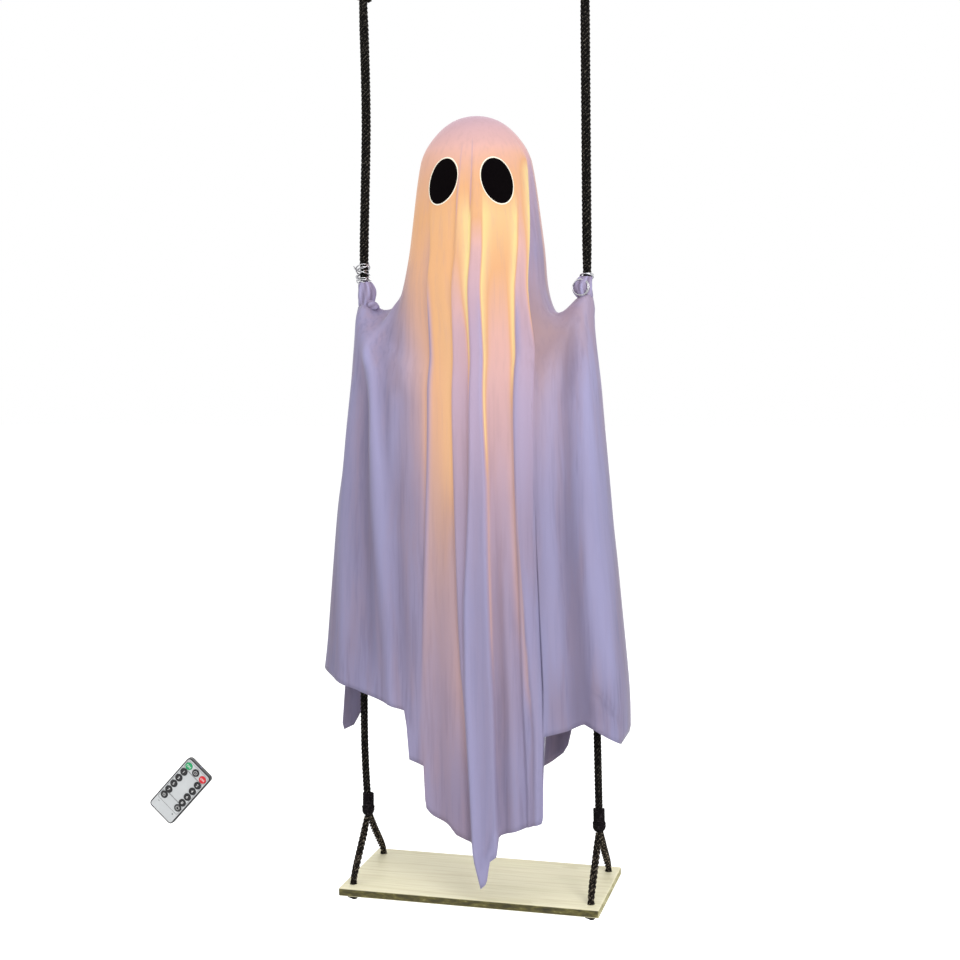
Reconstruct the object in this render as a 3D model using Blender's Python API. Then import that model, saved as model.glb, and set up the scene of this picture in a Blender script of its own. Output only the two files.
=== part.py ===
"""Light-up sheet ghost that hangs in a rope swing, with its remote control.

Metres, +Z up, front to -Y, the viewer's right to +X. The origin lies midway between the two ceiling
plates, on their top faces, so every drop is a distance below the ceiling.
"""

import math

import bmesh
import bpy
from mathutils import Matrix, Vector

MM = 0.001
QUARTER_TURN = math.radians(90)
HALF_TURN = 2 * QUARTER_TURN
SHARP_ANGLE = math.radians(35)
WELD_DISTANCE = 0.01 * MM

# Clearances
SEAT_GAP = 0.3 * MM
OVERRUN = 5 * MM

# Ceiling hangers
ROPE_HALF_TOP = 131 * MM
PLATE_RADIUS = 25 * MM
PLATE_THICKNESS = 4 * MM
PLATE_BEVEL = 0.8 * MM
SADDLE_DROP = 26 * MM
SADDLE_ROD_RADIUS = 3 * MM
SADDLE_HALF_WIDTH = 15 * MM
SADDLE_BEND_RADIUS = 7 * MM
SCREW_HEAD_RADIUS = 4 * MM
SCREW_HEAD_HEIGHT = 2.2 * MM
SCREW_SHANK_RADIUS = 2 * MM
SCREW_OFFSET = 16 * MM

# Ropes
ROPE_RADIUS = 5 * MM
ROPE_HALF_HAND = 132 * MM
ROPE_HALF_SPLIT = 143 * MM
HAND_DROP = 418 * MM
SPLIT_DROP = 1052 * MM
EYE_RADIUS = 20 * MM
SEIZING_LENGTH = 24 * MM
SEIZING_WALL = 1.6 * MM
SEIZING_STEPS = 8
EYE_TAIL_LENGTH = 62 * MM
EYE_THROAT_RISE = 6 * MM
EYE_THROAT_ANGLE = math.radians(25)
EYE_STEPS = 8
ROPE_STEP = 30 * MM
TIE_WIRE_RADIUS = 0.6 * MM
TIE_WIRE_PITCH = 1.8 * MM
TIE_WIRE_RISE = 20 * MM
TIE_WIRE_TURNS = 3
TIE_WIRE_END = 10 * MM
GATHER_RADIUS = 9.5 * MM
GATHER_RUFFLE = 1.2 * MM
GATHER_RISE = 13 * MM
GATHER_FALL = 2 * MM

# Seat
LEG_DROP = 73.5 * MM
BOARD_DROP = SPLIT_DROP + LEG_DROP
BOARD_LENGTH = 312 * MM
BOARD_DEPTH = 148 * MM
BOARD_THICKNESS = 10 * MM
BOARD_BEVEL = 1.6 * MM
LEG_RADIUS = 4 * MM
LEG_CLEARANCE = 0.6 * MM
LEG_END_INSET = 12.5 * MM
LEG_EDGE_INSET = 18 * MM
LEG_HALF_SPAN = BOARD_LENGTH / 2 - LEG_END_INSET
LEG_HALF_DEPTH = BOARD_DEPTH / 2 - LEG_EDGE_INSET
KNOT_RADIUS = 8 * MM
SPLIT_KNOT_HEIGHT = 22 * MM
SPLIT_KNOT_WALL = 1.5 * MM
STOP_KNOT_HEIGHT = 14 * MM
STOP_KNOT_LIP = 1 * MM
LEG_SPREAD_ANGLE = math.radians(31)

# Ghost: head, hands and hem
HEAD_TOP_DROP = 228 * MM
HEAD_RADIUS = 66.5 * MM
SKIRT_START = 60 * MM
NECK_LENGTH = 199 * MM
NECK_RADIUS = 83.6 * MM
CLOTH_THICKNESS = 1.5 * MM
HAND_OUTSET = 9.5 * MM
YOKE_DEPTH = 74 * MM
YOKE_FRONT_SAG = 84 * MM
HAND_BASE_SAG = 18 * MM
HAND_PEAK = 22 * MM
HAND_PEAK_WIDTH = 11 * MM
SHOULDER_SAG = 24 * MM
HEM_HALF_WIDTH = 186 * MM
HEM_SHIFT = -6 * MM
HEM_DEPTH = 78 * MM
YOKE_ROUNDNESS = 1.5
HEM_ROUNDNESS = 2.8
TAIL_DROP = 1111.5 * MM
FOLD_HEIGHT_NECK = 3 * MM
FOLD_HEIGHT_HEM = 11 * MM
HAND_HOLE_RADIUS = 7.7 * MM
FACE_TURN = math.radians(9.5)

# Ghost: what the cloth hides
DOME_WALL = 2 * MM
DOME_EASE = 1.6 * MM
SPINE_RADIUS = 8 * MM
SPINE_BORE = 6.5 * MM
BOSS_WALL = 2.5 * MM
BOSS_DEPTH = 24 * MM
ROCK_DROP = 450 * MM
ARM_WIRE_RADIUS = 1 * MM
ARM_EYE_CLEARANCE = 0.3 * MM
ARM_WIRE_SAG = 24 * MM
ARM_EYE_GAP_ANGLE = math.radians(26)
ARM_EYE_STEPS = 10
HUB_RADIUS = 14 * MM
HUB_HEIGHT = 16 * MM
HUB_EDGE = 1.5 * MM
STRING_RADIUS = 0.9 * MM
BULB_RADIUS = 2.4 * MM
STRING_PITCH = 40 * MM
CASE_WIDTH = 50 * MM
CASE_HEIGHT = 76 * MM
CASE_DEPTH = 21 * MM
CASE_WALL = 1.6 * MM
CASE_TOP_DROP = 742 * MM
CASE_BOSS_RISE = 9 * MM
CASE_BOSS_SINK = 12 * MM
SPINE_SEAT_DEPTH = 10 * MM
FRONT_FITTING_DROP = 7 * MM
CELL_RADIUS = 7.2 * MM
CELL_LENGTH = 50.5 * MM
CELL_NUB_RADIUS = 2.7 * MM
CELL_NUB_HEIGHT = 1.2 * MM
CELL_EDGE = 0.8 * MM
BUTTON_RADIUS = 4 * MM
BUTTON_TRAVEL = 1 * MM
BUTTON_PROUD = 0.8 * MM
BUTTON_EDGE = 0.5 * MM
BUTTON_POCKET = 5 * MM
RECEIVER_RADIUS = 3 * MM
RECEIVER_POCKET = 4 * MM

# Eyes
EYE_WIDTH = 37.6 * MM
EYE_HEIGHT = 54.4 * MM
EYE_THICKNESS = 0.9 * MM
EYE_FALL = 78.5 * MM
EYE_TURN = math.radians(27.6)
EYE_LEAN = math.radians(15)

# Remote
REMOTE_LENGTH = 86 * MM
REMOTE_WIDTH = 40 * MM
REMOTE_THICKNESS = 7 * MM
REMOTE_CORNER = 5 * MM
REMOTE_WALL = 1.6 * MM
REMOTE_BACK = 1.2 * MM
REMOTE_EDGE = 0.7 * MM
FACE_THICKNESS = 1 * MM
KEY_RADIUS = 4.8 * MM
KEY_RISE = 0.8 * MM
KEY_EDGE = 0.3 * MM
KEY_COLUMN = 12.2 * MM
KEY_PITCH = 10.6 * MM
FIRST_ROW = 9.5 * MM
LAST_ROW = 24.5 * MM
BOARD_SHEET = 0.8 * MM
KEY_SPACE = 1.6 * MM
COIN_RADIUS = 10 * MM
COIN_THICKNESS = 2.5 * MM
COIN_EDGE = 0.3 * MM
TRAY_LENGTH = 23 * MM
TRAY_WIDTH = 25 * MM
TRAY_FLOOR = 0.4 * MM
TRAY_LIP = 0.8 * MM
LED_RADIUS = 1.6 * MM
REMOTE_PLACE = Vector((-393 * MM, 0, -1045 * MM))
REMOTE_LEAN = math.radians(42.6)

# The cloth's grid: rows down, columns around; each fold spans four columns
HALF_COLUMNS = 20
FOLDS = 5
DOME_ROW_ANGLES = (math.radians(21), math.radians(42), math.radians(63))
SKIRT_ROW_SHARES = (0.0, 0.5, 1.0)
SHOULDER_ROW_SHARES = (0.45, 0.83, 1.0)
DROP_ROW_SHARES = (0.2, 0.46, 0.74, 1.0)

# The arm wire's bend, as shares of its sag inward, of its way back and of its sag down
ARM_BEND_SHARES = ((0.2, 0.17, 0.15), (0.55, 0.34, 0.75), (1.3, 0.8, 1.0), (2.4, 1.0, 1.0))

# A lower rope's bend, as shares of its run sideways, outward and down
LEG_BEND_SHARES = ((0.3, 0.33, 0.36), (0.7, 0.74, 0.70), (1.0, 0.96, 0.90))

# The hem: (share of the half width, share of the drop from hand to tail), left to right
FRONT_HEM_SHARES = (
    (-1.0, 0.652), (-0.77, 0.655), (-0.59, 0.673), (-0.40, 0.696), (-0.375, 0.779), (-0.275, 0.790),
    (-0.25, 0.865), (-0.12, 0.887), (-0.07, 0.907), (0.04, 0.920), (0.10, 1.0), (0.155, 0.947),
    (0.20, 0.907), (0.46, 0.887), (0.485, 0.803), (0.66, 0.727), (0.75, 0.721), (1.0, 0.750),
)
BACK_HEM_SHARES = (
    (-1.0, 0.652), (-0.90, 0.745), (-0.76, 0.685), (-0.60, 0.680), (-0.35, 0.740), (-0.20, 0.850),
    (0.0, 0.920), (0.20, 0.880), (0.42, 0.830), (0.60, 0.789), (0.70, 0.730), (0.85, 0.735),
    (1.0, 0.750),
)


def clear_scene():
    for obj in list(bpy.data.objects):
        bpy.data.objects.remove(obj, do_unlink=True)


def material(name, colour, roughness, metallic=0.0, glow=0.0):
    mat = bpy.data.materials.new(name)
    mat.use_nodes = True
    shader = mat.node_tree.nodes["Principled BSDF"]
    shader.inputs["Base Color"].default_value = (*colour, 1.0)
    shader.inputs["Roughness"].default_value = roughness
    shader.inputs["Metallic"].default_value = metallic
    if glow:
        shader.inputs["Emission Color"].default_value = (*colour, 1.0)
        shader.inputs["Emission Strength"].default_value = glow
    return mat


def add_object(name, data, mat, parent=None):
    obj = bpy.data.objects.new(name, data)
    bpy.context.scene.collection.objects.link(obj)
    obj.parent = parent
    if mat:
        data.materials.append(mat)
    return obj


def add_solid(name, bm, mat, parent=None, smooth=True):
    """Turns a bmesh into a named object with faces pointing out."""
    bmesh.ops.recalc_face_normals(bm, faces=bm.faces)
    mesh = bpy.data.meshes.new(name)
    bm.to_mesh(mesh)
    bm.free()
    if smooth:
        mesh.shade_smooth()
        mesh.set_sharp_from_angle(angle=SHARP_ANGLE)
    return add_object(name, mesh, mat, parent)


def hide_cutter(obj):
    obj.hide_render = True
    obj.display_type = "WIRE"
    return obj


def combine(obj, other, operation):
    """Adds a Boolean with the other object, which then only guides it."""
    mod = obj.modifiers.new(operation.title() + " " + other.name, "BOOLEAN")
    mod.operation = operation
    mod.object = hide_cutter(other)
    return obj


def cut(obj, cutter):
    return combine(obj, cutter, "DIFFERENCE")


def unite(obj, other):
    return combine(obj, other, "UNION")


def block(low, high):
    """A box between two corners."""
    bm = bmesh.new()
    bmesh.ops.create_cube(bm, size=1)
    low, high = Vector(low), Vector(high)
    bmesh.ops.scale(bm, vec=high - low, verts=bm.verts)
    bmesh.ops.translate(bm, vec=(low + high) / 2, verts=bm.verts)
    return bm


def rounded_slab(width, length, corner, bottom, top, segments=5):
    """An upright-sided slab in the XY plane with round corners."""
    bm = bmesh.new()
    ring = []
    for turn, (sx, sy) in enumerate(((1, 1), (-1, 1), (-1, -1), (1, -1))):
        for step in range(segments + 1):
            angle = QUARTER_TURN * (turn + step / segments)
            ring.append(bm.verts.new((
                sx * (width / 2 - corner) + corner * math.cos(angle),
                sy * (length / 2 - corner) + corner * math.sin(angle),
                bottom,
            )))
    face = bm.faces.new(ring)
    grown = bmesh.ops.extrude_face_region(bm, geom=[face])
    moved = [item for item in grown["geom"] if isinstance(item, bmesh.types.BMVert)]
    bmesh.ops.translate(bm, vec=(0, 0, top - bottom), verts=moved)
    return bm


def turned(profile, segments=24, closed=False):
    """Spins a profile of (radius, height) points about the Z axis."""
    bm = bmesh.new()
    verts = [bm.verts.new((radius, 0, height)) for radius, height in profile]
    pairs = list(zip(verts, verts[1:]))
    if closed:
        pairs.append((verts[-1], verts[0]))
    edges = [bm.edges.new(pair) for pair in pairs]
    bmesh.ops.spin(
        bm, geom=verts + edges, axis=(0, 0, 1), cent=(0, 0, 0), angle=math.tau, steps=segments, use_merge=True
    )
    bmesh.ops.remove_doubles(bm, verts=bm.verts, dist=WELD_DISTANCE)
    return bm


def rod(radius, bottom, top, segments=24):
    return turned(((0, bottom), (radius, bottom), (radius, top), (0, top)), segments)


def moved(bm, place, turn=None):
    if turn:
        bmesh.ops.transform(bm, matrix=turn.to_4x4(), verts=bm.verts)
    bmesh.ops.translate(bm, vec=place, verts=bm.verts)
    return bm


def curve_through(points, step):
    """Points at about one step apart on a smooth curve through the given ones."""
    points = [Vector(p) for p in points]
    ends = [points[0] * 2 - points[1]] + points + [points[-1] * 2 - points[-2]]
    route = []
    for a, b, c, d in zip(ends, ends[1:], ends[2:], ends[3:]):
        count = max(1, round((c - b).length / step))
        for i in range(count):
            t = i / count
            route.append((
                b * 2 + (c - a) * t + (a * 2 - b * 5 + c * 4 - d) * t ** 2 + (b * 3 - a - c * 3 + d) * t ** 3
            ) / 2)
    route.append(points[-1])
    return route


def tube(name, points, radius, mat, sides=2, radii=None, parent=None):
    """A round tube along a chain of points, with closed ends."""
    curve = bpy.data.curves.new(name, "CURVE")
    curve.dimensions = "3D"
    curve.bevel_depth = radius
    curve.bevel_resolution = sides
    curve.use_fill_caps = True
    curve.render_resolution_u = 0
    spline = curve.splines.new("POLY")
    spline.points.add(len(points) - 1)
    for i, (point, place) in enumerate(zip(spline.points, points)):
        point.co = (*place, 1.0)
        if radii:
            point.radius = radii[i] / radius
    return add_object(name, curve, mat, parent)


def tube_as_mesh(name, points, radius, mat):
    """The same tube as a mesh, for a Boolean."""
    curve_obj = tube(name + "_route", points, radius, mat)
    depsgraph = bpy.context.evaluated_depsgraph_get()
    mesh = bpy.data.meshes.new_from_object(curve_obj.evaluated_get(depsgraph))
    bpy.data.objects.remove(curve_obj, do_unlink=True)
    return add_object(name, mesh, None)


def side_name(side):
    return "left" if side < 0 else "right"


def rope_x(drop):
    """How far from the middle the rope lies at a drop."""
    if drop < HAND_DROP:
        return ROPE_HALF_TOP + (ROPE_HALF_HAND - ROPE_HALF_TOP) * drop / HAND_DROP
    share = (drop - HAND_DROP) / (SPLIT_DROP - HAND_DROP)
    return ROPE_HALF_HAND + (ROPE_HALF_SPLIT - ROPE_HALF_HAND) * share


def interpolate(table, value):
    """Reads a table of (key, value) pairs between its entries."""
    for (a, low), (b, high) in zip(table, table[1:]):
        if value <= b:
            return low + (high - low) * max(0.0, (value - a) / (b - a))
    return table[-1][1]


# Ceiling hangers

def make_hangers(steel, screw_steel):
    bend = [QUARTER_TURN * step / 4 for step in range(5)]
    count = 0
    for side in (-1, 1):
        x = side * ROPE_HALF_TOP
        plate = turned((
            (0, -PLATE_THICKNESS), (PLATE_RADIUS - PLATE_BEVEL, -PLATE_THICKNESS),
            (PLATE_RADIUS, PLATE_BEVEL - PLATE_THICKNESS), (PLATE_RADIUS, 0), (0, 0),
        ), 32)
        plate = add_solid("hanger_" + side_name(side), moved(plate, (x, 0, 0)), steel)
        corner_x = SADDLE_HALF_WIDTH - SADDLE_BEND_RADIUS
        corner_z = SADDLE_BEND_RADIUS - SADDLE_DROP
        half = [(SADDLE_HALF_WIDTH, -PLATE_THICKNESS / 2)]
        half += [
            (corner_x + SADDLE_BEND_RADIUS * math.cos(angle), corner_z - SADDLE_BEND_RADIUS * math.sin(angle))
            for angle in bend
        ]
        route = [(x + dx, 0, z) for dx, z in half] + [(x - dx, 0, z) for dx, z in reversed(half)]
        unite(plate, tube_as_mesh("saddle_rod_" + side_name(side), route, SADDLE_ROD_RADIUS, steel))
        for end in (-1, 1):
            count += 1
            place = (x, end * SCREW_OFFSET, -PLATE_THICKNESS)
            hole = rod(SCREW_SHANK_RADIUS + SEAT_GAP, -OVERRUN, PLATE_THICKNESS + OVERRUN, 16)
            cut(plate, add_solid("screw_hole_%d" % count, moved(hole, place), None))
            screw = turned((
                (0, -SCREW_HEAD_HEIGHT), (SCREW_HEAD_RADIUS * 0.6, -SCREW_HEAD_HEIGHT),
                (SCREW_HEAD_RADIUS, -SEAT_GAP - SCREW_HEAD_HEIGHT * 0.3), (SCREW_HEAD_RADIUS, -SEAT_GAP),
                (SCREW_SHANK_RADIUS, -SEAT_GAP), (SCREW_SHANK_RADIUS, PLATE_THICKNESS - SEAT_GAP),
                (0, PLATE_THICKNESS - SEAT_GAP),
            ), 16)
            add_solid("hanger_screw_%d" % count, moved(screw, place), screw_steel)


# Ropes

def eye_route():
    """The rope's eye over the saddle, from its tail to the standing part, as (y, drop)."""
    centre = SADDLE_DROP - SADDLE_ROD_RADIUS - SEAT_GAP - ROPE_RADIUS + EYE_RADIUS
    tail_y = 2 * ROPE_RADIUS + SEAT_GAP
    throat = SADDLE_DROP + EYE_TAIL_LENGTH - SEIZING_LENGTH - EYE_THROAT_RISE
    route = [(tail_y, SADDLE_DROP + EYE_TAIL_LENGTH), (tail_y, throat)]
    for step in range(EYE_STEPS + 1):
        angle = -EYE_THROAT_ANGLE + (HALF_TURN + 2 * EYE_THROAT_ANGLE) * step / EYE_STEPS
        route.append((EYE_RADIUS * math.cos(angle), centre - EYE_RADIUS * math.sin(angle)))
    route.append((0, throat))
    return route


def make_ropes(rope, cord, wire, fabric):
    for side in (-1, 1):
        name = side_name(side)
        route = [(side * rope_x(drop), y, -drop) for y, drop in eye_route()]
        eye = curve_through(route, EYE_RADIUS / 2.5)
        rope_end = SPLIT_DROP - SEAT_GAP
        stops = [SADDLE_DROP + EYE_TAIL_LENGTH, HAND_DROP - ROPE_STEP, HAND_DROP, HAND_DROP + ROPE_STEP]
        straight = [Vector((side * rope_x(drop), 0, -drop)) for drop in stops + [rope_end]]
        tube("rope_" + name, eye + curve_through(straight, ROPE_STEP), ROPE_RADIUS, rope)
        make_seizing(side, cord)
        make_tie_wire(side, wire)
        make_hand_gather(side, fabric)
        make_split_knot(side, cord)


def make_seizing(side, cord):
    """A flat-sided band round the rope and the eye's tail beside it."""
    bm = bmesh.new()
    inner = ROPE_RADIUS + SEAT_GAP
    gap = 2 * ROPE_RADIUS + SEAT_GAP
    outer = inner + SEIZING_WALL
    bottom = SADDLE_DROP + EYE_TAIL_LENGTH
    top = bottom - SEIZING_LENGTH
    rings = []
    for radius, drop in ((inner, top), (outer, top), (outer, bottom), (inner, bottom)):
        ring = []
        for centre, start in ((gap, -QUARTER_TURN), (0, QUARTER_TURN)):
            for step in range(SEIZING_STEPS + 1):
                angle = start + 2 * QUARTER_TURN * step / SEIZING_STEPS
                y = centre + radius * math.cos(angle)
                ring.append(bm.verts.new((side * rope_x(drop) + radius * math.sin(angle), y, -drop)))
        rings.append(ring)
    for a, b in zip(rings, rings[1:] + rings[:1]):
        for i in range(len(a)):
            j = (i + 1) % len(a)
            bm.faces.new((a[i], a[j], b[j], b[i]))
    add_solid("eye_seizing_" + side_name(side), bm, cord)


def make_tie_wire(side, wire):
    """Close turns of wire round the rope above the gathered hand, with a short twisted end."""
    per_turn = 9
    coil_radius = (ROPE_RADIUS + SEAT_GAP + TIE_WIRE_RADIUS) / math.cos(math.pi / per_turn)
    top = HAND_DROP - TIE_WIRE_RISE
    points = []
    for step in range(TIE_WIRE_TURNS * per_turn + 1):
        angle = math.tau * step / per_turn - QUARTER_TURN
        drop = top + TIE_WIRE_PITCH * step / per_turn
        points.append(Vector((side * (rope_x(drop) + coil_radius * math.cos(angle)),
                              coil_radius * math.sin(angle), -drop)))
    away = Vector((side, -1, 0)).normalized() * TIE_WIRE_END
    points += [points[-1] + away * share for share in (0.2, 0.5, 1.0)]
    tube("tie_wire_" + side_name(side), points, TIE_WIRE_RADIUS, wire, sides=1)


def make_hand_gather(side, fabric):
    """The ruffled collar of cloth that the wire holds to the rope."""
    inner = ROPE_RADIUS + SEAT_GAP
    ruffles, segments = 7, 28
    top, bottom = HAND_DROP - GATHER_RISE, HAND_DROP + GATHER_FALL
    neck_share, belly_share, hollow_share = 0.72, 0.35, 0.25
    profile = (
        (inner, top), (GATHER_RADIUS * neck_share, top),
        (GATHER_RADIUS, top + (bottom - top) * belly_share), (GATHER_RADIUS, bottom),
        (inner, bottom - (bottom - top) * hollow_share),
    )
    bm = bmesh.new()
    rings = []
    for radius, drop in profile:
        ring = []
        for step in range(segments):
            angle = math.tau * step / segments
            grow = GATHER_RUFFLE * math.cos(ruffles * angle) if radius == GATHER_RADIUS else 0
            spread = radius + grow
            ring.append(bm.verts.new((
                side * rope_x(drop) + spread * math.cos(angle), spread * math.sin(angle), -drop)))
        rings.append(ring)
    for a, b in zip(rings, rings[1:] + rings[:1]):
        for i in range(segments):
            j = (i + 1) % segments
            bm.faces.new((a[i], a[j], b[j], b[i]))
    add_solid("hand_gather_" + side_name(side), bm, fabric)


def make_split_knot(side, cord):
    """A wrap that ends in a ball, round which the two lower ropes swing."""
    bore = ROPE_RADIUS + SEAT_GAP
    wrap = bore + SPLIT_KNOT_WALL
    join = math.acos(wrap / KNOT_RADIUS)
    profile = [(0, 0), (bore, 0), (bore, SPLIT_KNOT_HEIGHT), (wrap, SPLIT_KNOT_HEIGHT),
               (wrap, KNOT_RADIUS * math.sin(join))]
    steps = 5
    for step in range(1, steps + 1):
        angle = join - (join + QUARTER_TURN) * step / steps
        profile.append((max(0, KNOT_RADIUS * math.cos(angle)), KNOT_RADIUS * math.sin(angle)))
    place = (side * rope_x(SPLIT_DROP), 0, -SPLIT_DROP)
    lean = math.atan((ROPE_HALF_SPLIT - ROPE_HALF_HAND) / (SPLIT_DROP - HAND_DROP))
    turn = Matrix.Rotation(-side * lean, 3, "Y")
    add_solid("split_knot_" + side_name(side), moved(turned(profile, 16), place, turn), cord)


# Seat

def make_seat(wood, rope):
    half_length, half_depth = BOARD_LENGTH / 2, BOARD_DEPTH / 2
    underside = -BOARD_DROP - BOARD_THICKNESS
    slab = block((-half_length, -half_depth, underside), (half_length, half_depth, -BOARD_DROP))
    board = add_solid("seat_board", slab, wood, smooth=False)
    edge = board.modifiers.new("Eased edges", "BEVEL")
    edge.width = BOARD_BEVEL
    edge.segments = 2
    for side in (-1, 1):
        for face in (-1, 1):
            name = side_name(side) + ("_front" if face < 0 else "_back")
            x, y = side * LEG_HALF_SPAN, face * LEG_HALF_DEPTH
            drill = rod(LEG_RADIUS + LEG_CLEARANCE, -OVERRUN, BOARD_THICKNESS + OVERRUN, 20)
            place = (x, y, -BOARD_DROP - BOARD_THICKNESS)
            cut(board, add_solid("leg_hole_" + name, moved(drill, place), None))
            make_leg(name, side, face, rope)
            make_stop_knot(name, x, y, rope)


def make_leg(name, side, face, rope):
    """A lower rope, from the ball of the split to the knot under the board."""
    start = KNOT_RADIUS + SEAT_GAP
    top_x, top_drop = rope_x(SPLIT_DROP), SPLIT_DROP
    foot_x, foot_y = LEG_HALF_SPAN, LEG_HALF_DEPTH
    foot_drop = BOARD_DROP + BOARD_THICKNESS + SEAT_GAP + stop_knot_rise()
    span_x, span_drop = foot_x - top_x, BOARD_DROP - top_drop
    route = [(top_x, start * math.sin(LEG_SPREAD_ANGLE), top_drop + start * math.cos(LEG_SPREAD_ANGLE))]
    route += [(top_x + span_x * sideways, foot_y * outward, top_drop + span_drop * down)
              for sideways, outward, down in LEG_BEND_SHARES]
    route += [(foot_x, foot_y, drop) for drop in (BOARD_DROP, BOARD_DROP + BOARD_THICKNESS, foot_drop)]
    points = [Vector((side * x, face * y, -drop)) for x, y, drop in route]
    tube("leg_rope_" + name, curve_through(points, 2 * LEG_RADIUS), LEG_RADIUS, rope)


def stop_knot_rise():
    """The height of a knot's flat top above its middle."""
    return STOP_KNOT_HEIGHT / 2 * math.sin(math.acos((LEG_RADIUS + SEAT_GAP + STOP_KNOT_LIP) / KNOT_RADIUS))


def make_stop_knot(name, x, y, rope):
    bore = LEG_RADIUS + SEAT_GAP
    start = math.acos((bore + STOP_KNOT_LIP) / KNOT_RADIUS)
    profile = [(0, -SEAT_GAP), (bore, -SEAT_GAP), (bore, stop_knot_rise())]
    steps = 4
    for step in range(steps + 1):
        angle = start - (start + QUARTER_TURN) * step / steps
        profile.append((max(0, KNOT_RADIUS * math.cos(angle)), STOP_KNOT_HEIGHT / 2 * math.sin(angle)))
    place = (x, y, -BOARD_DROP - BOARD_THICKNESS - SEAT_GAP - stop_knot_rise())
    add_solid("stop_knot_" + name, moved(turned(profile, 12), place), rope)


# Cloth

def head_radius(fall):
    """The head's radius at a height below its top: a dome, then a slowly widening skirt."""
    if fall < SKIRT_START:
        return math.sqrt(max(0, 2 * HEAD_RADIUS * fall - fall * fall))
    start = math.sqrt(2 * HEAD_RADIUS * SKIRT_START - SKIRT_START * SKIRT_START)
    return start + (NECK_RADIUS - start) * (fall - SKIRT_START) / (NECK_LENGTH - SKIRT_START)


def on_head(share, face, fall, out=0.0):
    """A point on the head at a share of the quarter turn from the middle to the side."""
    angle = QUARTER_TURN * share
    radius = head_radius(fall) + out
    return Vector((radius * math.sin(angle), face * radius * math.cos(angle), -HEAD_TOP_DROP - fall))


def section(share, face, half_width, depth, power):
    """A point on a flattened section, from pointed ends at a low power to round ones."""
    reach = (1 - abs(share) ** power) ** (1 / power)
    return Vector((half_width * share, face * depth * reach, 0))


def peak_at_hand(place):
    """How far the cloth is drawn up round the rope."""
    away = Vector((abs(place.x) - ROPE_HALF_HAND, place.y)).length
    return HAND_PEAK * math.exp(-(away / HAND_PEAK_WIDTH) ** 2)


def yoke_point(share, face):
    place = section(share, face, ROPE_HALF_HAND + HAND_OUTSET, YOKE_DEPTH, YOKE_ROUNDNESS)
    place.z = -HAND_DROP - HAND_BASE_SAG - YOKE_FRONT_SAG * (1 - abs(share) ** 3)
    return place


def hem_point(share, face):
    place = section(share, face, HEM_HALF_WIDTH, HEM_DEPTH, HEM_ROUNDNESS)
    place.x += HEM_SHIFT
    table = FRONT_HEM_SHARES if face < 0 else BACK_HEM_SHARES
    place.z = -HAND_DROP - (TAIL_DROP - HAND_DROP) * interpolate(table, share)
    return place


def drop_point(share, face, down):
    """A point between the hands' level and the hem, on a section that widens and rounds out."""
    top, bottom = yoke_point(share, face), hem_point(share, face)
    drop = top.z + (bottom.z - top.z) * down
    level = (-HAND_DROP - drop) / (TAIL_DROP - HAND_DROP)
    widening = min(1.0, (level / 0.7) ** 0.8)
    half_width = ROPE_HALF_HAND + HAND_OUTSET + (HEM_HALF_WIDTH - ROPE_HALF_HAND - HAND_OUTSET) * widening
    depth = YOKE_DEPTH + (HEM_DEPTH - YOKE_DEPTH) * widening
    place = section(share, face, half_width, depth,
                    YOKE_ROUNDNESS + (HEM_ROUNDNESS - YOKE_ROUNDNESS) * widening ** 0.7)
    place.x += HEM_SHIFT * widening
    place.z = drop
    return place


def folded(place, share, face, height):
    """Pushes a point out or in, so that folds run down the cloth."""
    outward = Vector((share ** 3, face * (1 - abs(share)), 0)).normalized()
    wave = math.cos(math.pi * FOLDS * share) * (1 - abs(share) ** 3)
    return place + outward * height * wave


def cloth_column(share, face):
    """The cloth's points from below the crown to the hem, at one place around it."""
    column = []
    for angle in DOME_ROW_ANGLES:
        column.append(on_head(share, face, HEAD_RADIUS * (1 - math.cos(angle))))
    for down in SKIRT_ROW_SHARES:
        place = on_head(share, face, SKIRT_START + (NECK_LENGTH - SKIRT_START) * down)
        column.append(folded(place, share, face, FOLD_HEIGHT_NECK * max(0.0, 2 * down - 1)))
    neck = on_head(share, face, NECK_LENGTH)
    for across in SHOULDER_ROW_SHARES:
        place = neck.lerp(yoke_point(share, face), across)
        place.z += peak_at_hand(place) - SHOULDER_SAG * math.sin(math.pi * across) * abs(share) ** 3
        column.append(folded(place, share, face, FOLD_HEIGHT_NECK))
    for down in DROP_ROW_SHARES:
        place = drop_point(share, face, down)
        height = FOLD_HEIGHT_NECK + (FOLD_HEIGHT_HEM - FOLD_HEIGHT_NECK) * down
        place.z += peak_at_hand(place) * (1 - down) ** 4
        column.append(folded(place, share, face, height))
    return column


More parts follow.
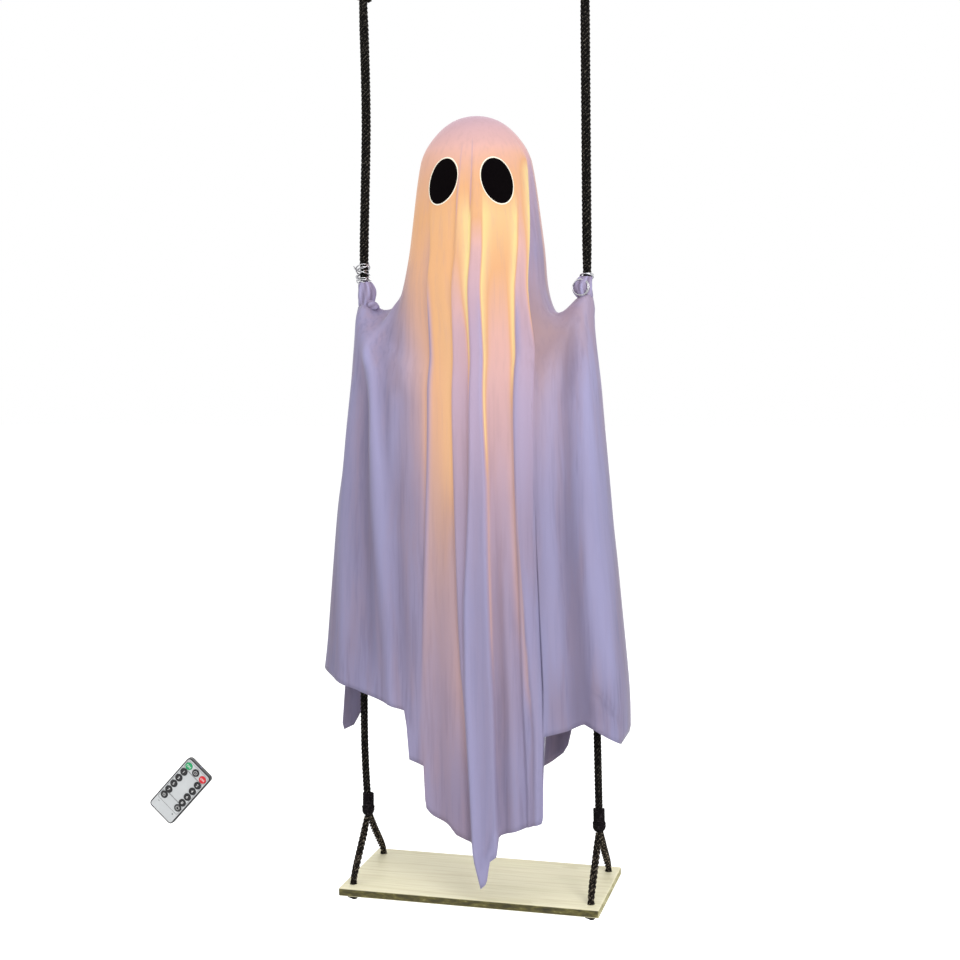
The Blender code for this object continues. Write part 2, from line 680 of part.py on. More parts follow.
def make_cloth(fabric):
    """The sheet: one skin with thickness, open at the hem, with a hole for each rope."""
    steps = [(-1 + 2 * i / HALF_COLUMNS, -1) for i in range(HALF_COLUMNS)]
    steps += [(1 - 2 * i / HALF_COLUMNS, 1) for i in range(HALF_COLUMNS)]
    columns = [cloth_column(share, face) for share, face in steps]
    bm = bmesh.new()
    crown = bm.verts.new((0, 0, -HEAD_TOP_DROP))
    grid = [[bm.verts.new(place) for place in column] for column in columns]
    for left, right in zip(grid, grid[1:] + grid[:1]):
        bm.faces.new((crown, left[0], right[0]))
        for upper_left, lower_left, lower_right, upper_right in zip(left, left[1:], right[1:], right):
            bm.faces.new((upper_left, lower_left, lower_right, upper_right))
    cloth = add_solid("cloth", bm, fabric)
    skin = cloth.modifiers.new("Thickness", "SOLIDIFY")
    skin.thickness = CLOTH_THICKNESS
    skin.offset = 0
    for side in (-1, 1):
        length = HAND_DROP + 2 * HAND_PEAK
        hole = rod(HAND_HOLE_RADIUS, -length, -HAND_DROP + HAND_PEAK, 20)
        place = (side * rope_x(HAND_DROP), 0, 0)
        cut(cloth, add_solid("rope_hole_" + side_name(side), moved(hole, place), None))


def make_eye(side, felt):
    """A thin oval patch that lies on the head, its top leaning to the middle."""
    rings, segments = 2, 20
    bm = bmesh.new()
    layers = []
    for out in (CLOTH_THICKNESS / 2 + SEAT_GAP, CLOTH_THICKNESS / 2 + SEAT_GAP + EYE_THICKNESS):
        layer = []
        for ring in range(rings + 1):
            share = ring / rings
            count = segments if ring else 1
            row = []
            for step in range(count):
                angle = math.tau * step / segments
                across = EYE_WIDTH / 2 * share * math.cos(angle)
                up = EYE_HEIGHT / 2 * share * math.sin(angle)
                lean = side * EYE_LEAN
                flat_x = across * math.cos(lean) - up * math.sin(lean)
                fall = EYE_FALL - across * math.sin(lean) - up * math.cos(lean)
                turn = side * EYE_TURN + FACE_TURN + flat_x / head_radius(fall)
                row.append(bm.verts.new(on_head(turn / QUARTER_TURN, -1, fall, out)))
            layer.append(row)
        layers.append(layer)
    for layer in layers:
        for i in range(segments):
            j = (i + 1) % segments
            bm.faces.new((layer[0][0], layer[1][i], layer[1][j]))
            for inner, outer in zip(layer[1:], layer[2:]):
                bm.faces.new((inner[i], outer[i], outer[j], inner[j]))
    for i in range(segments):
        j = (i + 1) % segments
        low, high = layers[0][-1], layers[1][-1]
        bm.faces.new((low[i], low[j], high[j], high[i]))
    add_solid("eye_" + side_name(side), bm, felt)


# What the cloth hides

def make_dome(plastic):
    """A hemispherical shell with a socket inside its crown for the spine."""
    outer = HEAD_RADIUS - CLOTH_THICKNESS / 2 - SEAT_GAP - DOME_EASE
    inner = outer - DOME_WALL
    bore = SPINE_RADIUS + SEAT_GAP
    boss = bore + BOSS_WALL
    steps = 7
    low = math.radians(8)
    profile = [(0, outer)]
    for step in range(1, steps + 1):
        angle = QUARTER_TURN * (1 - step / steps) - low * step / steps
        profile.append((outer * math.cos(angle), outer * math.sin(angle)))
    top = math.acos(boss / inner)
    for step in range(steps + 1):
        angle = -low + (top + low) * step / steps
        profile.append((inner * math.cos(angle), inner * math.sin(angle)))
    boss_end = inner - BOSS_DEPTH
    profile += [(boss, boss_end), (bore, boss_end), (bore, inner - DOME_WALL), (0, inner - DOME_WALL)]
    place = (0, 0, -HEAD_TOP_DROP - HEAD_RADIUS)
    add_solid("head_dome", moved(turned(profile, 24), place), plastic)
    return HEAD_TOP_DROP + HEAD_RADIUS - inner + DOME_WALL


def make_spine(spine_top, plastic, metal):
    spine_end = CASE_TOP_DROP + SPINE_SEAT_DEPTH
    top = spine_top + SEAT_GAP
    profile = ((SPINE_BORE, -top), (SPINE_RADIUS, -top), (SPINE_RADIUS, -spine_end), (SPINE_BORE, -spine_end))
    add_solid("spine_tube", turned(profile, 20, closed=True), metal)
    hub_drop = ROCK_DROP + ARM_WIRE_SAG
    bore = SPINE_RADIUS + SEAT_GAP
    half, shoulder = HUB_HEIGHT / 2, HUB_HEIGHT / 2 - HUB_EDGE
    hub = turned((
        (bore, -half), (HUB_RADIUS - HUB_EDGE, -half), (HUB_RADIUS, -shoulder), (HUB_RADIUS, shoulder),
        (HUB_RADIUS - HUB_EDGE, half), (bore, half),
    ), 24, closed=True)
    clamp = add_solid("hub_clamp", moved(hub, (0, 0, -hub_drop)), plastic)
    groove = rod(ARM_WIRE_RADIUS + SEAT_GAP, -HUB_RADIUS - OVERRUN, HUB_RADIUS + OVERRUN, 12)
    turn = Matrix.Rotation(QUARTER_TURN, 3, "Y")
    cut(clamp, add_solid("wire_groove", moved(groove, (0, arm_wire_y(), -hub_drop), turn), None))


def arm_wire_y():
    """The arm wire runs behind the spine, inside the hub's wall."""
    return SPINE_RADIUS + SEAT_GAP + (HUB_RADIUS - SPINE_RADIUS - SEAT_GAP) / 2


def make_arm_wire(metal):
    """A bent wire with an eye round each rope, on which the ghost rocks."""
    eye = ROPE_RADIUS + ARM_EYE_CLEARANCE + ARM_WIRE_RADIUS
    x = rope_x(ROCK_DROP)
    eye_points = []
    for step in range(ARM_EYE_STEPS + 1):
        angle = HALF_TURN + ARM_EYE_GAP_ANGLE + (math.tau - 2 * ARM_EYE_GAP_ANGLE) * step / ARM_EYE_STEPS
        eye_points.append((x + eye * math.cos(angle), eye * math.sin(angle), -ROCK_DROP))
    arm = [(x - eye - ARM_WIRE_SAG * inward, arm_wire_y() * back, -ROCK_DROP - ARM_WIRE_SAG * down)
           for inward, back, down in ARM_BEND_SHARES]
    arm.append((HUB_RADIUS, arm_wire_y(), -ROCK_DROP - ARM_WIRE_SAG))
    half = [Vector(p) for p in eye_points] + curve_through(arm, ARM_WIRE_SAG / 3)
    other = [Vector((-p.x, p.y, p.z)) for p in reversed(half)]
    tube("arm_wire", half + other, ARM_WIRE_RADIUS, metal, sides=1)


def make_light_string(spine_top, plastic):
    """Wire wound down the spine with a lamp every half turn, led past the hub to the battery case."""
    per_turn = 8
    hub_drop = ROCK_DROP + ARM_WIRE_SAG
    hub_clear = HUB_HEIGHT / 2 + 3 * BULB_RADIUS
    start = spine_top + BOSS_DEPTH + 3 * BULB_RADIUS
    end = CASE_TOP_DROP - CASE_BOSS_RISE - 3 * BULB_RADIUS
    points, radii = [], []
    for zone, (top, bottom) in enumerate(((start, hub_drop - hub_clear), (hub_drop + hub_clear, end))):
        count = round((bottom - top) / STRING_PITCH) * per_turn
        for step in range(count + 1):
            lamp = step % (per_turn // 2) == 2
            thick = BULB_RADIUS if lamp else STRING_RADIUS
            reach = (SPINE_RADIUS + SEAT_GAP + thick) / math.cos(math.pi / per_turn)
            angle = math.tau * step / per_turn
            drop = top + (bottom - top) * step / count
            points.append((reach * math.cos(angle), reach * math.sin(angle), -drop))
            radii.append(thick)
        if zone == 0:
            reach = HUB_RADIUS + SEAT_GAP + 1.5 * STRING_RADIUS
            for drop in (hub_drop - HUB_HEIGHT / 2, hub_drop + HUB_HEIGHT / 2):
                points.append((reach, 0, -drop))
                radii.append(STRING_RADIUS)
    lead_x = CASE_DEPTH / 2 + 2 * STRING_RADIUS
    for drop in (CASE_TOP_DROP - CASE_BOSS_RISE, CASE_TOP_DROP - SEAT_GAP):
        points.append((lead_x, 0, -drop))
        radii.append(STRING_RADIUS)
    tube("light_string", points, STRING_RADIUS, plastic, sides=1, radii=radii)


def make_battery_case(plastic, cover_plastic, metal, dark, red):
    """A box for three cells, open at the back under a sliding cover, with a socket for the spine."""
    half_width, half_depth = CASE_WIDTH / 2, CASE_DEPTH / 2
    top, bottom = -CASE_TOP_DROP, -CASE_TOP_DROP - CASE_HEIGHT
    case = add_solid("battery_case", block((-half_width, -half_depth, bottom), (half_width, half_depth, top)),
                     plastic, smooth=False)
    edge = case.modifiers.new("Eased edges", "BEVEL")
    edge.width = CASE_WALL / 2
    edge.segments = 2
    boss_radius = SPINE_RADIUS + SEAT_GAP
    boss_wide = half_depth - CASE_WALL
    boss = rod(boss_wide, -CASE_BOSS_SINK, CASE_BOSS_RISE)
    unite(case, add_solid("spine_boss", moved(boss, (0, 0, top)), None))
    bay_top = top - CASE_BOSS_SINK - CASE_WALL
    bay_bottom = bottom + CASE_WALL
    bay = block((-half_width + CASE_WALL, -half_depth + CASE_WALL, bay_bottom),
                (half_width - CASE_WALL, half_depth + OVERRUN, bay_top))
    cut(case, add_solid("cell_bay", bay, None))
    back_opening = block((-half_width + CASE_WALL, half_depth - CASE_WALL - SEAT_GAP, bottom - OVERRUN),
                         (half_width - CASE_WALL, half_depth + OVERRUN, bay_bottom + OVERRUN))
    cut(case, add_solid("cover_way", back_opening, None))
    spine_hole = rod(boss_radius, -SPINE_SEAT_DEPTH - SEAT_GAP, CASE_BOSS_RISE + OVERRUN, 20)
    cut(case, add_solid("spine_hole", moved(spine_hole, (0, 0, top)), None))
    slot = block((-half_width + CASE_WALL / 2, half_depth - CASE_WALL, bottom - OVERRUN),
                 (half_width - CASE_WALL / 2, half_depth - CASE_WALL / 2 + SEAT_GAP, bay_top))
    cut(case, add_solid("cover_slot", slot, None))
    make_cover(bay_top, cover_plastic)
    make_cells(bay_bottom, metal)
    make_button(case, red)
    make_receiver(case, dark)


def make_cover(bay_top, plastic):
    half_width = CASE_WIDTH / 2 - CASE_WALL / 2 - SEAT_GAP
    outer = CASE_DEPTH / 2 - CASE_WALL / 2
    grip = block((-half_width + CASE_WALL, outer - CASE_WALL / 2, -CASE_TOP_DROP - CASE_HEIGHT),
                 (half_width - CASE_WALL, CASE_DEPTH / 2, bay_top - SEAT_GAP))
    bmesh.ops.bevel(grip, geom=[e for e in grip.edges], offset=CASE_WALL / 6, segments=1, affect="EDGES")
    plate = block((-half_width, outer - CASE_WALL / 2 + SEAT_GAP, -CASE_TOP_DROP - CASE_HEIGHT),
                  (half_width, outer, bay_top - SEAT_GAP))
    cover = add_solid("battery_cover", plate, plastic, smooth=False)
    unite(cover, add_solid("cover_panel", grip, None, smooth=False))


def make_cells(bay_bottom, metal):
    pitch = 2 * CELL_RADIUS + SEAT_GAP
    y = -CASE_DEPTH / 2 + CASE_WALL + SEAT_GAP + CELL_RADIUS
    shoulder = CELL_RADIUS - CELL_EDGE
    body = CELL_LENGTH - CELL_NUB_HEIGHT
    for number in range(3):
        profile = (
            (0, 0), (shoulder, 0), (CELL_RADIUS, CELL_EDGE), (CELL_RADIUS, body - CELL_EDGE),
            (shoulder, body), (CELL_NUB_RADIUS, body), (CELL_NUB_RADIUS, CELL_LENGTH), (0, CELL_LENGTH),
        )
        place = ((number - 1) * pitch, y, bay_bottom + SEAT_GAP)
        add_solid("cell_%d" % (number + 1), moved(turned(profile, 16), place), metal)


def make_button(case, red):
    """A push button in a hole in the case's front, below its top."""
    place = (CASE_WIDTH / 4, -CASE_DEPTH / 2, -CASE_TOP_DROP - FRONT_FITTING_DROP)
    turn = Matrix.Rotation(QUARTER_TURN, 3, "X")
    hole = rod(BUTTON_RADIUS + SEAT_GAP, -BUTTON_POCKET, OVERRUN, 20)
    cut(case, add_solid("button_hole", moved(hole, place, turn), None))
    rise = BUTTON_TRAVEL + BUTTON_PROUD
    deep = BUTTON_POCKET - BUTTON_TRAVEL - SEAT_GAP
    cap = turned((
        (0, -deep), (BUTTON_RADIUS, -deep), (BUTTON_RADIUS, rise - BUTTON_EDGE),
        (BUTTON_RADIUS - BUTTON_EDGE, rise), (0, rise),
    ), 20)
    add_solid("power_button", moved(cap, place, turn), red)


def make_receiver(case, dark):
    place = (-CASE_WIDTH / 4, -CASE_DEPTH / 2, -CASE_TOP_DROP - FRONT_FITTING_DROP)
    turn = Matrix.Rotation(QUARTER_TURN, 3, "X")
    hole = rod(RECEIVER_RADIUS + SEAT_GAP, -RECEIVER_POCKET, OVERRUN, 16)
    cut(case, add_solid("receiver_hole", moved(hole, place, turn), None))
    seat = SEAT_GAP - RECEIVER_POCKET
    profile = [(0, seat), (RECEIVER_RADIUS, seat)]
    for step in range(5):
        angle = QUARTER_TURN * step / 4
        profile.append((max(0, RECEIVER_RADIUS * math.cos(angle)), RECEIVER_RADIUS * 0.8 * math.sin(angle)))
    add_solid("ir_receiver", moved(turned(profile, 16), place, turn), dark)


# Remote: modelled flat, width along X, length along Y, face to +Z, then turned to stand in the picture

def key_places():
    """Each key's name and place on the face."""
    top = REMOTE_LENGTH / 2 - FIRST_ROW
    places = [("on", -KEY_COLUMN, top), ("timer", 0, top), ("off", KEY_COLUMN, top)]
    for number in range(8):
        row, column = divmod(number, 2)
        places.append((str(number + 1), (2 * column - 1) * KEY_COLUMN, top - KEY_PITCH * (row + 1)))
    bottom = LAST_ROW - REMOTE_LENGTH / 2
    places += [("dimmer", -KEY_COLUMN, bottom), ("brighter", KEY_COLUMN, bottom)]
    return places


def make_remote(dark, silver, key_materials, board_green, metal, clear):
    frame = bpy.data.objects.new("remote_frame", None)
    bpy.context.scene.collection.objects.link(frame)
    upright = Matrix.Rotation(QUARTER_TURN, 4, "X")
    frame.matrix_world = Matrix.Translation(REMOTE_PLACE) @ Matrix.Rotation(REMOTE_LEAN, 4, "Y") @ upright
    back, front = -REMOTE_THICKNESS / 2, REMOTE_THICKNESS / 2
    face_bottom = front - FACE_THICKNESS
    case = add_solid("remote_case", rounded_slab(REMOTE_WIDTH, REMOTE_LENGTH, REMOTE_CORNER, back, front),
                     dark, frame)
    edge = case.modifiers.new("Eased edges", "BEVEL")
    edge.width = REMOTE_EDGE
    edge.segments = 2
    edge.limit_method = "ANGLE"
    inset = 2 * REMOTE_WALL
    hollow = rounded_slab(REMOTE_WIDTH - inset - REMOTE_WALL, REMOTE_LENGTH - inset - REMOTE_WALL,
                          REMOTE_CORNER - REMOTE_WALL, back + REMOTE_BACK, front + OVERRUN)
    cut(case, add_solid("remote_hollow", hollow, None, frame))
    rebate = rounded_slab(REMOTE_WIDTH - inset + 2 * SEAT_GAP, REMOTE_LENGTH - inset + 2 * SEAT_GAP,
                          REMOTE_CORNER - REMOTE_WALL / 2, face_bottom - SEAT_GAP, front + OVERRUN)
    cut(case, add_solid("face_rebate", rebate, None, frame))
    panel = rounded_slab(REMOTE_WIDTH - inset, REMOTE_LENGTH - inset, REMOTE_CORNER - REMOTE_WALL,
                         face_bottom, front)
    face = add_solid("remote_face", panel, silver, frame)
    for name, x, y in key_places():
        hole = rod(KEY_RADIUS + SEAT_GAP, face_bottom - OVERRUN, front + OVERRUN, 16)
        cut(face, add_solid("key_hole_" + name, moved(hole, (x, y, 0)), None, frame))
        key = turned((
            (0, face_bottom), (KEY_RADIUS, face_bottom), (KEY_RADIUS, front + KEY_RISE - KEY_EDGE),
            (KEY_RADIUS - 2 * KEY_EDGE, front + KEY_RISE), (0, front + KEY_RISE),
        ), 16)
        add_solid("key_" + name, moved(key, (x, y, 0)), key_materials.get(name, dark), frame)
    make_remote_inside(case, frame, back, board_green, metal, dark, clear)


def make_remote_inside(case, frame, back, board_green, metal, dark, clear):
    end = -REMOTE_LENGTH / 2
    floor = back + REMOTE_BACK + SEAT_GAP
    tray_top = floor + TRAY_FLOOR + COIN_THICKNESS
    mouth = block((-TRAY_WIDTH / 2 - SEAT_GAP, end - OVERRUN, floor - SEAT_GAP),
                  (TRAY_WIDTH / 2 + SEAT_GAP, end + 4 * REMOTE_WALL, tray_top + SEAT_GAP))
    cut(case, add_solid("tray_mouth", mouth, None, frame))
    tray_block = block((-TRAY_WIDTH / 2, end, floor), (TRAY_WIDTH / 2, end + TRAY_LENGTH, tray_top))
    tray = add_solid("cell_tray", tray_block, dark, frame, smooth=False)
    coin_y = end + TRAY_LENGTH - COIN_RADIUS - TRAY_LIP
    well = rod(COIN_RADIUS + SEAT_GAP, floor + TRAY_FLOOR, tray_top + OVERRUN, 32)
    cut(tray, add_solid("coin_well", moved(well, (0, coin_y, 0)), None, frame))
    low = floor + TRAY_FLOOR + SEAT_GAP
    high = low + COIN_THICKNESS
    flat = COIN_RADIUS - COIN_EDGE
    coin = turned((
        (0, low), (flat, low), (COIN_RADIUS, low + COIN_EDGE), (COIN_RADIUS, high - COIN_EDGE), (flat, high), (0, high),
    ), 24)
    add_solid("coin_cell", moved(coin, (0, coin_y, 0)), metal, frame)
    sheet_low = REMOTE_THICKNESS / 2 - FACE_THICKNESS - KEY_SPACE - BOARD_SHEET
    sheet_start = end + TRAY_LENGTH + REMOTE_WALL
    sheet_end = REMOTE_LENGTH / 2 - 1.5 * REMOTE_WALL - SEAT_GAP
    sheet = rounded_slab(REMOTE_WIDTH - 3 * REMOTE_WALL - 2 * SEAT_GAP, sheet_end - sheet_start,
                         REMOTE_CORNER - REMOTE_WALL, sheet_low, sheet_low + BOARD_SHEET, 3)
    add_solid("remote_board", moved(sheet, (0, (sheet_start + sheet_end) / 2, 0)), board_green, frame)
    led_place = (0, REMOTE_LENGTH / 2, sheet_low + BOARD_SHEET / 2)
    turn = Matrix.Rotation(-QUARTER_TURN, 3, "X")
    window = rod(LED_RADIUS + SEAT_GAP, -4 * REMOTE_WALL, OVERRUN, 16)
    cut(case, add_solid("led_window", moved(window, led_place, turn), None, frame))
    deep = 1.5 * REMOTE_WALL - SEAT_GAP
    profile = [(0, -deep), (LED_RADIUS, -deep)]
    for step in range(5):
        angle = QUARTER_TURN * step / 4
        profile.append((max(0, LED_RADIUS * math.cos(angle)), LED_RADIUS * 0.7 * math.sin(angle)))
    add_solid("remote_led", moved(turned(profile, 16), led_place, turn), clear, frame)


def build():
    clear_scene()
    steel = material("steel", (0.62, 0.63, 0.65), 0.35, 1.0)
    wire = material("silver wire", (0.75, 0.76, 0.78), 0.25, 1.0)
    rope = material("black rope", (0.02, 0.018, 0.017), 0.9)
    fabric = material("lavender cloth", (0.42, 0.40, 0.60), 0.85)
    felt = material("black felt", (0.01, 0.01, 0.01), 0.95)
    wood = material("pale wood", (0.66, 0.60, 0.40), 0.6)
    frosted = material("frosted plastic", (0.85, 0.83, 0.78), 0.5)
    warm = material("warm lamps", (1.0, 0.62, 0.25), 0.3, glow=4.0)
    white = material("white plastic", (0.8, 0.8, 0.8), 0.45)
    dark = material("dark plastic", (0.02, 0.02, 0.022), 0.4)
    silver = material("silver face", (0.58, 0.60, 0.61), 0.35)
    green = material("green key", (0.01, 0.35, 0.10), 0.4)
    red = material("red key", (0.60, 0.02, 0.02), 0.4)
    circuit = material("circuit board", (0.02, 0.18, 0.06), 0.5)
    clear = material("clear lens", (0.5, 0.5, 0.6), 0.1)

    make_hangers(steel, wire)
    make_ropes(rope, rope, wire, fabric)
    make_seat(wood, rope)
    make_cloth(fabric)
    for side in (-1, 1):
        make_eye(side, felt)
    spine_top = make_dome(frosted)
    make_spine(spine_top, white, steel)
    make_arm_wire(steel)
    make_light_string(spine_top, warm)
    make_battery_case(white, white, steel, dark, red)
    make_remote(dark, silver, {"on": green, "off": red}, circuit, steel, clear)


build()
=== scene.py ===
"""Looks of the light-up sheet ghost in its rope swing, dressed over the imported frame. Metres, +Z up."""

import math
import random

import bmesh
import bpy
from mathutils import Matrix, Vector, noise


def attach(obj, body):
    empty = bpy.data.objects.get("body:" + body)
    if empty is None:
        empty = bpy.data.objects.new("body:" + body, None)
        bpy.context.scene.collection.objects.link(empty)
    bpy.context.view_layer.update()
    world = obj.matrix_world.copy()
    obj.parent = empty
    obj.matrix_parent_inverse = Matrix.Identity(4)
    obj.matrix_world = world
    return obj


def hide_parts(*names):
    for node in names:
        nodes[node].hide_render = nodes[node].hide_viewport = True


MM = 0.001
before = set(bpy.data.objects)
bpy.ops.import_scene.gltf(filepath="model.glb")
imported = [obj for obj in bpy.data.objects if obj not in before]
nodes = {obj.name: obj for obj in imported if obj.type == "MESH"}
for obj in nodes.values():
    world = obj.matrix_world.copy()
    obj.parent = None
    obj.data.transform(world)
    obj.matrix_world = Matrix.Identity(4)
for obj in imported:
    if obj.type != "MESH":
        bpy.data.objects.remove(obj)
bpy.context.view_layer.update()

# Where the parts lie, as in the part's own measures
ROPE_HALF_TOP = 131 * MM
ROPE_HALF_HAND = 132 * MM
ROPE_HALF_SPLIT = 143 * MM
ROPE_RADIUS = 5 * MM
HAND_DROP = 418 * MM
SPLIT_DROP = 1052 * MM
SADDLE_DROP = 26 * MM
SADDLE_ROD_RADIUS = 3 * MM
SEAT_GAP = 0.3 * MM
EYE_RADIUS = 20 * MM
EYE_TAIL_LENGTH = 62 * MM
EYE_THROAT_RISE = 6 * MM
EYE_THROAT_ANGLE = math.radians(25)
EYE_STEPS = 8
SEIZING_LENGTH = 24 * MM
TWINE_RADIUS = 0.75 * MM
ROPE_STEP = 30 * MM
BOARD_DROP = SPLIT_DROP + 73.5 * MM
BOARD_THICKNESS = 10 * MM
LEG_RADIUS = 4 * MM
LEG_HALF_SPAN = 143.5 * MM
LEG_HALF_DEPTH = 56 * MM
KNOT_RADIUS = 8 * MM
LEG_SPREAD_ANGLE = math.radians(31)
STOP_KNOT_RISE = 5.23 * MM
KNOT_FLATNESS = 0.62
HEAD_TOP_DROP = 228 * MM
HEAD_RADIUS = 66.5 * MM
SKIRT_START = 60 * MM
NECK_LENGTH = 199 * MM
NECK_RADIUS = 83.6 * MM
HAND_OUTSET = 9.5 * MM
YOKE_DEPTH = 74 * MM
YOKE_FRONT_SAG = 84 * MM
HAND_BASE_SAG = 18 * MM
HAND_PEAK = {-1: 15 * MM, 1: 22 * MM}
HAND_PEAK_WIDTH = {-1: 12 * MM, 1: 24 * MM}
HAND_NOTCH = {-1: 4 * MM, 1: 9 * MM}
HAND_NOTCH_WIDTH = 10 * MM
SHOULDER_SAG = {-1: 17 * MM, 1: 29 * MM}
SHOULDER_SKEW = {-1: 0.8, 1: 0.45}
HEM_HALF_WIDTH = 186 * MM
HEM_SHIFT = -6 * MM
HEM_DEPTH = 78 * MM
YOKE_ROUNDNESS = 1.5
HEM_ROUNDNESS = 2.8
TAIL_DROP = 1111.5 * MM
HEAD_SHIFT = 3.2 * MM
REMOTE_PLACE = Vector((-393 * MM, 0, -1045 * MM))
REMOTE_LEAN = math.radians(42.6)
CASE_TOP_DROP = 742 * MM


def side_name(side):
    return "left" if side < 0 else "right"


def between_points(table, value):
    """Reads a table of (key, value, ...) rows between its entries; the last row holds beyond it."""
    if value <= table[0][0]:
        return table[0][1]
    for (a, low), (b, high) in zip(table, table[1:]):
        if value <= b:
            return low + (high - low) * (value - a) / max(1e-9, b - a)
    return table[-1][1]


# Small helpers for meshes

def add_piece(name, verts, faces, material, body, replaced=None, uvs=None, values=None, smooth=True):
    """A new mesh piece in its place, with optional UVs and per-vertex values, that rides on a body."""
    mesh = bpy.data.meshes.new(name)
    mesh.from_pydata([tuple(v) for v in verts], [], faces)
    if uvs:
        layer = mesh.uv_layers.new(name="UVMap")
        for loop in mesh.loops:
            layer.data[loop.index].uv = uvs[loop.vertex_index]
    for label, numbers in (values or {}).items():
        attribute = mesh.attributes.new(label, "FLOAT", "POINT")
        attribute.data.foreach_set("value", numbers)
    mesh.update()
    if smooth:
        mesh.shade_smooth()
    obj = bpy.data.objects.new(name, mesh)
    bpy.context.scene.collection.objects.link(obj)
    mesh.materials.append(material)
    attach(obj, body)
    if replaced:
        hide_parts(replaced)
    return obj


def curve_through(points, step):
    """Points at about one step apart on a smooth curve through the given ones."""
    points = [Vector(p) for p in points]
    ends = [points[0] * 2 - points[1]] + points + [points[-1] * 2 - points[-2]]
    route = []
    for a, b, c, d in zip(ends, ends[1:], ends[2:], ends[3:]):
        count = max(1, round((c - b).length / step))
        for i in range(count):
            t = i / count
            route.append((
                b * 2 + (c - a) * t + (a * 2 - b * 5 + c * 4 - d) * t ** 2 + (b * 3 - a - c * 3 + d) * t ** 3
            ) / 2)
    route.append(points[-1])
    return route


def even_points(route, step):
    """The same line with points one step apart."""
    lengths = [0.0]
    for a, b in zip(route, route[1:]):
        lengths.append(lengths[-1] + (b - a).length)
    count = max(2, round(lengths[-1] / step))
    points, i = [], 0
    for k in range(count + 1):
        along = lengths[-1] * k / count
        while i < len(route) - 2 and lengths[i + 1] < along:
            i += 1
        share = (along - lengths[i]) / max(1e-9, lengths[i + 1] - lengths[i])
        points.append(route[i].lerp(route[i + 1], min(1.0, share)))
    return points


def line_length(points):
    return sum((b - a).length for a, b in zip(points, points[1:]))


def frames_along(points):
    """A pair of cross directions at each point, carried along without twist."""
    tangents = []
    for i in range(len(points)):
        a, b = points[max(0, i - 1)], points[min(len(points) - 1, i + 1)]
        tangents.append((b - a).normalized())
    first = Vector((1, 0, 0)) if abs(tangents[0].x) < 0.9 else Vector((0, 1, 0))
    across = (first - tangents[0] * first.dot(tangents[0])).normalized()
    pairs = []
    for tangent in tangents:
        across = (across - tangent * across.dot(tangent)).normalized()
        pairs.append((across, tangent.cross(across)))
    return pairs


def band(a, b, count):
    """The faces between two closed rings of points that start at a and at b."""
    return [(a + k, a + (k + 1) % count, b + (k + 1) % count, b + k) for k in range(count)]


def tube_mesh(points, radius, sides, closed=False):
    """Vertices, faces and UVs of a round tube; radius may be a list."""
    pairs = frames_along(points)
    verts, faces, uvs, along = [], [], [], 0.0
    for i, (point, (a, b)) in enumerate(zip(points, pairs)):
        r = radius[i] if isinstance(radius, (list, tuple)) else radius
        if i:
            along += (point - points[i - 1]).length
        for k in range(sides):
            angle = math.tau * k / sides
            verts.append(point + (a * math.cos(angle) + b * math.sin(angle)) * r)
            uvs.append((k / sides, along * 100))
    rings = len(points)
    for i in range(rings if closed else rings - 1):
        faces += band(i * sides, (i + 1) % rings * sides, sides)
    if not closed:
        faces += [tuple(reversed(range(sides))), tuple(range((rings - 1) * sides, rings * sides))]
    return verts, faces, uvs


def join_parts(parts):
    """Several (vertices, faces, uvs) as one."""
    verts, faces, uvs = [], [], []
    for v, f, u in parts:
        start = len(verts)
        verts += v
        faces += [tuple(start + i for i in face) for face in f]
        uvs += u
    return verts, faces, uvs


# Materials

# Depths of the fine reliefs
COARSE, THREADED, FUZZY, GRAINED, DRAWN = 0.3 * MM, 0.25 * MM, 0.2 * MM, 0.1 * MM, 0.05 * MM
# Where the board's end grain starts, and how far its sawn edges come round onto its faces
END_GRAIN = (154.5 * MM, 155.5 * MM)
EDGE_NEAR, EDGE_FAR = 0.5 * MM, 1.4 * MM
# Heights between which the sheet gets darker inside, and the ends of the dry cells
SHADE_HEIGHTS = (-660 * MM, -500 * MM)
CELL_HEIGHTS = (-816.1 * MM, -765.6 * MM)


